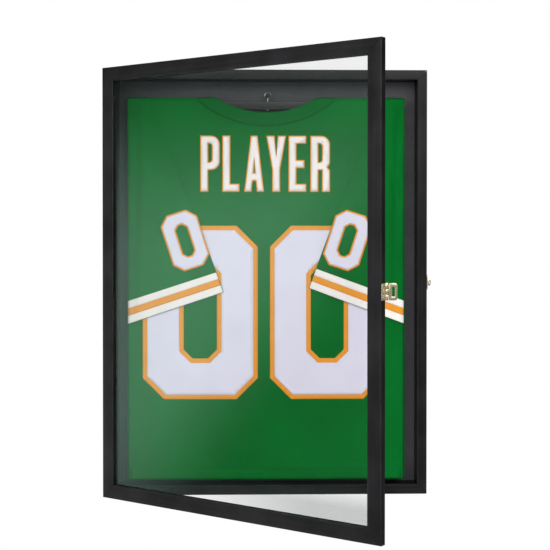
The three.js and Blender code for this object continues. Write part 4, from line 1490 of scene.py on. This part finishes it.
@dataclass
class Sleeve:
    """A sleeve folded down across the front, with a striped cuff and a small number."""

    bench: Bench
    drape: Drape
    side: Side
    across_top: float = 41 * MM
    across_cuff: float = 181 * MM
    left_cuff_z: float = -18.5 * MM
    right_cuff_z: float = -11 * MM
    cuff_out_z: float = -79 * MM
    under: float = 1.5 * MM
    plump: float = 2.1 * MM
    cloth: float = 0.6 * MM
    steps_along: int = 110
    steps_across: int = 62
    stripes: tuple[float, ...] = (43.6 * MM, 29.2 * MM, 15.6 * MM, 0.6 * MM)
    number_width: float = 72 * MM
    number_height: float = 110 * MM
    number_x: float = 153 * MM
    number_z: float = 79 * MM
    number_turn: float = 18.0
    number_band: float = 25 * MM
    number_corner: float = 17 * MM
    number_border: float = 3.0 * MM
    number_thread: float = 1.4 * MM
    number_cell: float = 5 * MM
    number_lift: float = 1.0 * MM
    stripe_in: float = 0.004
    stripe_cell: float = 3.2 * MM
    stripe_cloth: float = 0.3 * MM
    stripe_lift: float = 0.28 * MM
    edge_in: float = 1.5 * MM
    bow: float = 6 * MM
    pressed: float = 0.22
    swell: float = 0.55 * MM
    crumple: float = 0.5 * MM
    same: float = 0.02 * MM

    @property
    def word(self) -> str:
        """left or right."""
        return self.side.name.lower()

    @property
    def cuff_in_z(self) -> float:
        """The height of the cuff's inner corner."""
        return self.left_cuff_z if self.side is Side.LEFT else self.right_cuff_z

    def spot(self, across: float, down: float) -> tuple[float, float]:
        """A place on the folded sleeve, in X and Z.

        Args:
            across: 0 at the shirt's side and 1 at the sleeve's inner edge.
            down: 0 at the shoulder and 1 at the cuff's edge.

        Returns:
            X and Z.
        """
        drape = self.drape
        edge = drape.half - self.edge_in
        inner_top, inner_low = edge - self.across_top, edge - self.across_cuff
        bow = self.bow * math.sin(math.pi * down)
        inner = inner_top + (inner_low - inner_top) * down - bow * 0.4
        outer_z = drape.top + (self.cuff_out_z - drape.top) * down
        inner_z = drape.top + (self.cuff_in_z - drape.top) * down
        out = edge + (inner - edge) * across
        return drape.middle + self.side.value * out, outer_z + (inner_z - outer_z) * across

    def lift(self, across: float, down: float) -> float:
        """How far the sleeve's outer layer stands off the shirt.

        Args:
            across: 0 at the shirt's side and 1 at the sleeve's inner edge.
            down: 0 at the shoulder and 1 at the cuff's edge.

        Returns:
            The distance.
        """
        joined = self.pressed + (1 - self.pressed) * smooth_between(down, 0.02, 0.45)
        rim = math.sqrt(max(0.0, 1 - (2 * across - 1) ** 8))
        swell = self.swell * math.sin(math.pi * min(1.0, down * 1.1)) * math.sin(math.pi * across)
        crumple = self.crumple * noise(Vector((across * 5 + self.side.value * 3, down * 9, 2.0)))
        return joined * (self.under + self.plump * rim + (swell + crumple) * rim)

    def tube(self) -> None:
        """The sleeve itself, as a flattened tube that is open at the cuff."""
        around = 2 * self.steps_across
        shape = grid(float(around), float(self.steps_along), 1.0)
        layer = shape.loops.layers.uv["cloth"]
        reach = self.drape.top - self.cuff_out_z
        for face in shape.faces:
            for loop in face.loops:
                u, v = loop[layer].uv
                loop[layer].uv = (u / around * 2 * self.across_cuff, v / self.steps_along * reach)
        for vert in shape.verts:
            turn = vert.co.x / around + 0.5
            across = 1 - abs(1 - 2 * turn)
            down = 0.5 - vert.co.y / self.steps_along
            x, z = self.spot(across, down)
            height = self.lift(across, down) if turn <= 0.5 else self.under * 0.2
            vert.co = self.drape.lay(x, z, height)
        bmesh.ops.remove_doubles(shape, verts=shape.verts, dist=self.same)
        bmesh.ops.recalc_face_normals(shape, faces=shape.faces)
        self._face_out(shape)
        piece = self.bench.piece(f"{self.word}_sleeve", shape, KNIT, Slot.JERSEY, Body.SHIRT,
                                 [f"jersey_{self.word}_sleeve"])
        thicken(piece, self.cloth, -1.0)

    def _face_out(self, shape: bmesh.types.BMesh) -> None:
        """Turns a shape's faces so that its foremost one faces the front.

        Args:
            shape: The tube or the stripe.
        """
        front = min(shape.faces, key=lambda face: face.calc_center_median().y)
        if front.normal.y > 0:
            bmesh.ops.reverse_faces(shape, faces=shape.faces)

    def band(self, name: str, first: float, last: float, finish: Finish) -> None:
        """A stripe that runs across the sleeve.

        Args:
            name: The piece's name.
            first: How far its upper edge is above the cuff's edge.
            last: How far its lower edge is above the cuff's edge.
            finish: Its material.
        """
        reach = self.drape.top - self.cuff_out_z
        wide, tall = self.across_cuff, first - last
        shape = grid(wide, tall, self.stripe_cell)
        for vert in shape.verts:
            across = self.stripe_in + (1 - 2 * self.stripe_in) * (0.5 - vert.co.x / wide)
            down = 1 - (last + (vert.co.y / tall + 0.5) * tall) / reach
            x, z = self.spot(across, down)
            vert.co = self.drape.lay(x, z, self.lift(across, down) + self.stripe_lift)
        self._face_out(shape)
        piece = self.bench.piece(name, shape, finish, Slot.JERSEY, Body.SHIRT)
        thicken(piece, self.stripe_cloth, -1.0)

    def build(self) -> None:
        """Makes the sleeve, its stripes and its number."""
        self.tube()
        bands = zip(("upper", "gold", "cuff"), (WARM_WHITE, GOLD, WARM_WHITE), self.stripes, self.stripes[1:])
        for name, finish, first, last in bands:
            self.band(f"{self.word}_{name}_stripe", first, last, finish)
        self._number()

    def _number(self) -> None:
        """The small number, lifted on to the sleeve."""
        turn = -self.side.value * self.number_turn
        centre = (self.drape.middle + self.side.value * self.number_x, self.number_z)
        zero = Glyphs().zero(self.number_width, self.number_height, self.number_band, self.number_corner)
        outer = placed(zero, centre, turn)
        inner = [grown(outline, -self.number_border) for outline in outer]
        sleeve = f"{self.word}_sleeve"
        height = self.under + self.plump + self.number_lift
        sewing = Sewing(self.bench, self.drape)
        sewing.two_layers(f"{sleeve}_number", outer, inner, height, self.number_thread, self.number_cell,
                          sleeve)


# ---------------------------------------------------------------------------------------------------------
# The studio
# ---------------------------------------------------------------------------------------------------------


@dataclass(frozen=True)
class Lamp:
    """A soft square light that faces a point."""

    name: str
    at: Point
    aim: Point
    size: float
    power: float

    def build(self) -> None:
        """Makes the light."""
        data = bpy.data.lights.new(self.name, "AREA")
        data.size = self.size
        data.energy = self.power
        lamp = bpy.data.objects.new(self.name, data)
        lamp.location = self.at
        lamp.rotation_euler = (Vector(self.aim) - Vector(self.at)).to_track_quat("-Z", "Y").to_euler()
        bpy.context.scene.collection.objects.link(lamp)


@dataclass
class Studio:
    """The floor, the light and the camera."""

    camera_at: Point = (-0.042, -2.259, 0.090)
    camera_turn: tuple[float, float] = (89.35, -1.43)
    lens: float = 77.1
    sensor: float = 36.0
    shift: float = -0.049
    floor_z: float = -0.9
    floor_radius: float = 1.2
    floor_sides: int = 96
    ambient: float = 0.78
    mirrored: float = 0.055
    gleam: float = 1.16
    gleam_lean: float = 0.73
    gleam_near: tuple[float, float] = (-0.41, -0.27)
    gleam_tilt: float = 0.109
    gleam_high: tuple[float, float] = (-0.045, 0.100)
    gleam_left: tuple[float, float] = (-0.55, -0.85)
    gleam_fade: float = 0.96
    lamps: tuple[Lamp, ...] = (Lamp("key_light", (0.75, -2.5, 1.35), (0.0, 0.0, 0.0), 1.5, 32.0),
                               Lamp("fill_light", (-1.25, -2.3, 0.9), (-0.1, 0.0, 0.0), 1.5, 30.0),
                               Lamp("rear_light", (0.4, 2.4, 1.4), (0.0, 0.0, 0.0), 1.8, 26.0))

    def camera(self) -> None:
        """Makes the camera."""
        data = bpy.data.cameras.new("camera")
        data.lens = self.lens
        data.sensor_width = self.sensor
        data.shift_y = self.shift
        camera = bpy.data.objects.new("camera", data)
        camera.location = self.camera_at
        camera.rotation_euler = (math.radians(self.camera_turn[0]), 0.0, math.radians(self.camera_turn[1]))
        bpy.context.scene.collection.objects.link(camera)
        bpy.context.scene.camera = camera

    def floor(self) -> None:
        """Makes the plain floor."""
        shape = bmesh.new()
        bmesh.ops.create_circle(shape, cap_ends=True, segments=self.floor_sides,
                                radius=self.floor_radius)
        bmesh.ops.translate(shape, verts=shape.verts, vec=(0.0, 0.0, self.floor_z))
        mesh = bpy.data.meshes.new("studio_floor")
        shape.to_mesh(mesh)
        shape.free()
        mesh.materials.append(StudioFloor("studio_floor").material())
        floor = bpy.data.objects.new("studio_floor", mesh)
        bpy.context.scene.collection.objects.link(floor)

    def world(self) -> None:
        """Makes a white background with gentler light, and a slanting pale gleam for the clear sheet."""
        world = bpy.data.worlds.new("studio")
        world.use_nodes = True
        world.node_tree.nodes.clear()
        nodes = Nodes(world.node_tree)
        way = nodes.add("ShaderNodeTexCoord").out("Generated")
        split = nodes.add("ShaderNodeSeparateXYZ", {}, {0: way})
        forward, upward = split.signal("Y"), split.signal("Z")
        near = nodes.smooth(forward + upward * self.gleam_lean, *self.gleam_near)
        high = nodes.smooth(upward + forward * self.gleam_tilt, *self.gleam_high)
        leftward = nodes.step(split.signal("X"), *self.gleam_left)
        gleam = near * (1.0 - high * self.gleam_fade) * leftward
        seen = nodes.add("ShaderNodeLightPath")
        shine = nodes.step(gleam, 0.0, 1.0, self.mirrored, self.gleam)
        indirect = nodes.step(seen.signal("Is Glossy Ray"), 0.0, 1.0, self.ambient, shine)
        strength = nodes.step(seen.signal("Is Camera Ray"), 0.0, 1.0, indirect, 1.0)
        white = nodes.add("ShaderNodeBackground", {}, {"Color": (1.0, 1.0, 1.0), "Strength": strength})
        nodes.finish(white, "ShaderNodeOutputWorld")
        bpy.context.scene.world = world

    def build(self) -> None:
        """Makes the whole studio."""
        bpy.context.scene.view_settings.view_transform = "Standard"
        self.camera()
        self.floor()
        self.world()
        for lamp in self.lamps:
            lamp.build()


def main() -> None:
    """Builds everything in order."""
    logging.basicConfig(level=logging.INFO, format="%(message)s")
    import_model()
    bench = Bench()
    Studio().build()
    Case(bench).build()
    Door(bench).build()
    Hanger(bench).build()
    drape = Drape()
    sewing = Sewing(bench, drape)
    ShirtBody(bench, drape, sewing).build()
    Lettering(sewing, drape).build()
    for side in Side:
        Sleeve(bench, drape, side).build()
    LOG.info("%d pieces", len(bench.made))


if __name__ == "__main__":
    main()
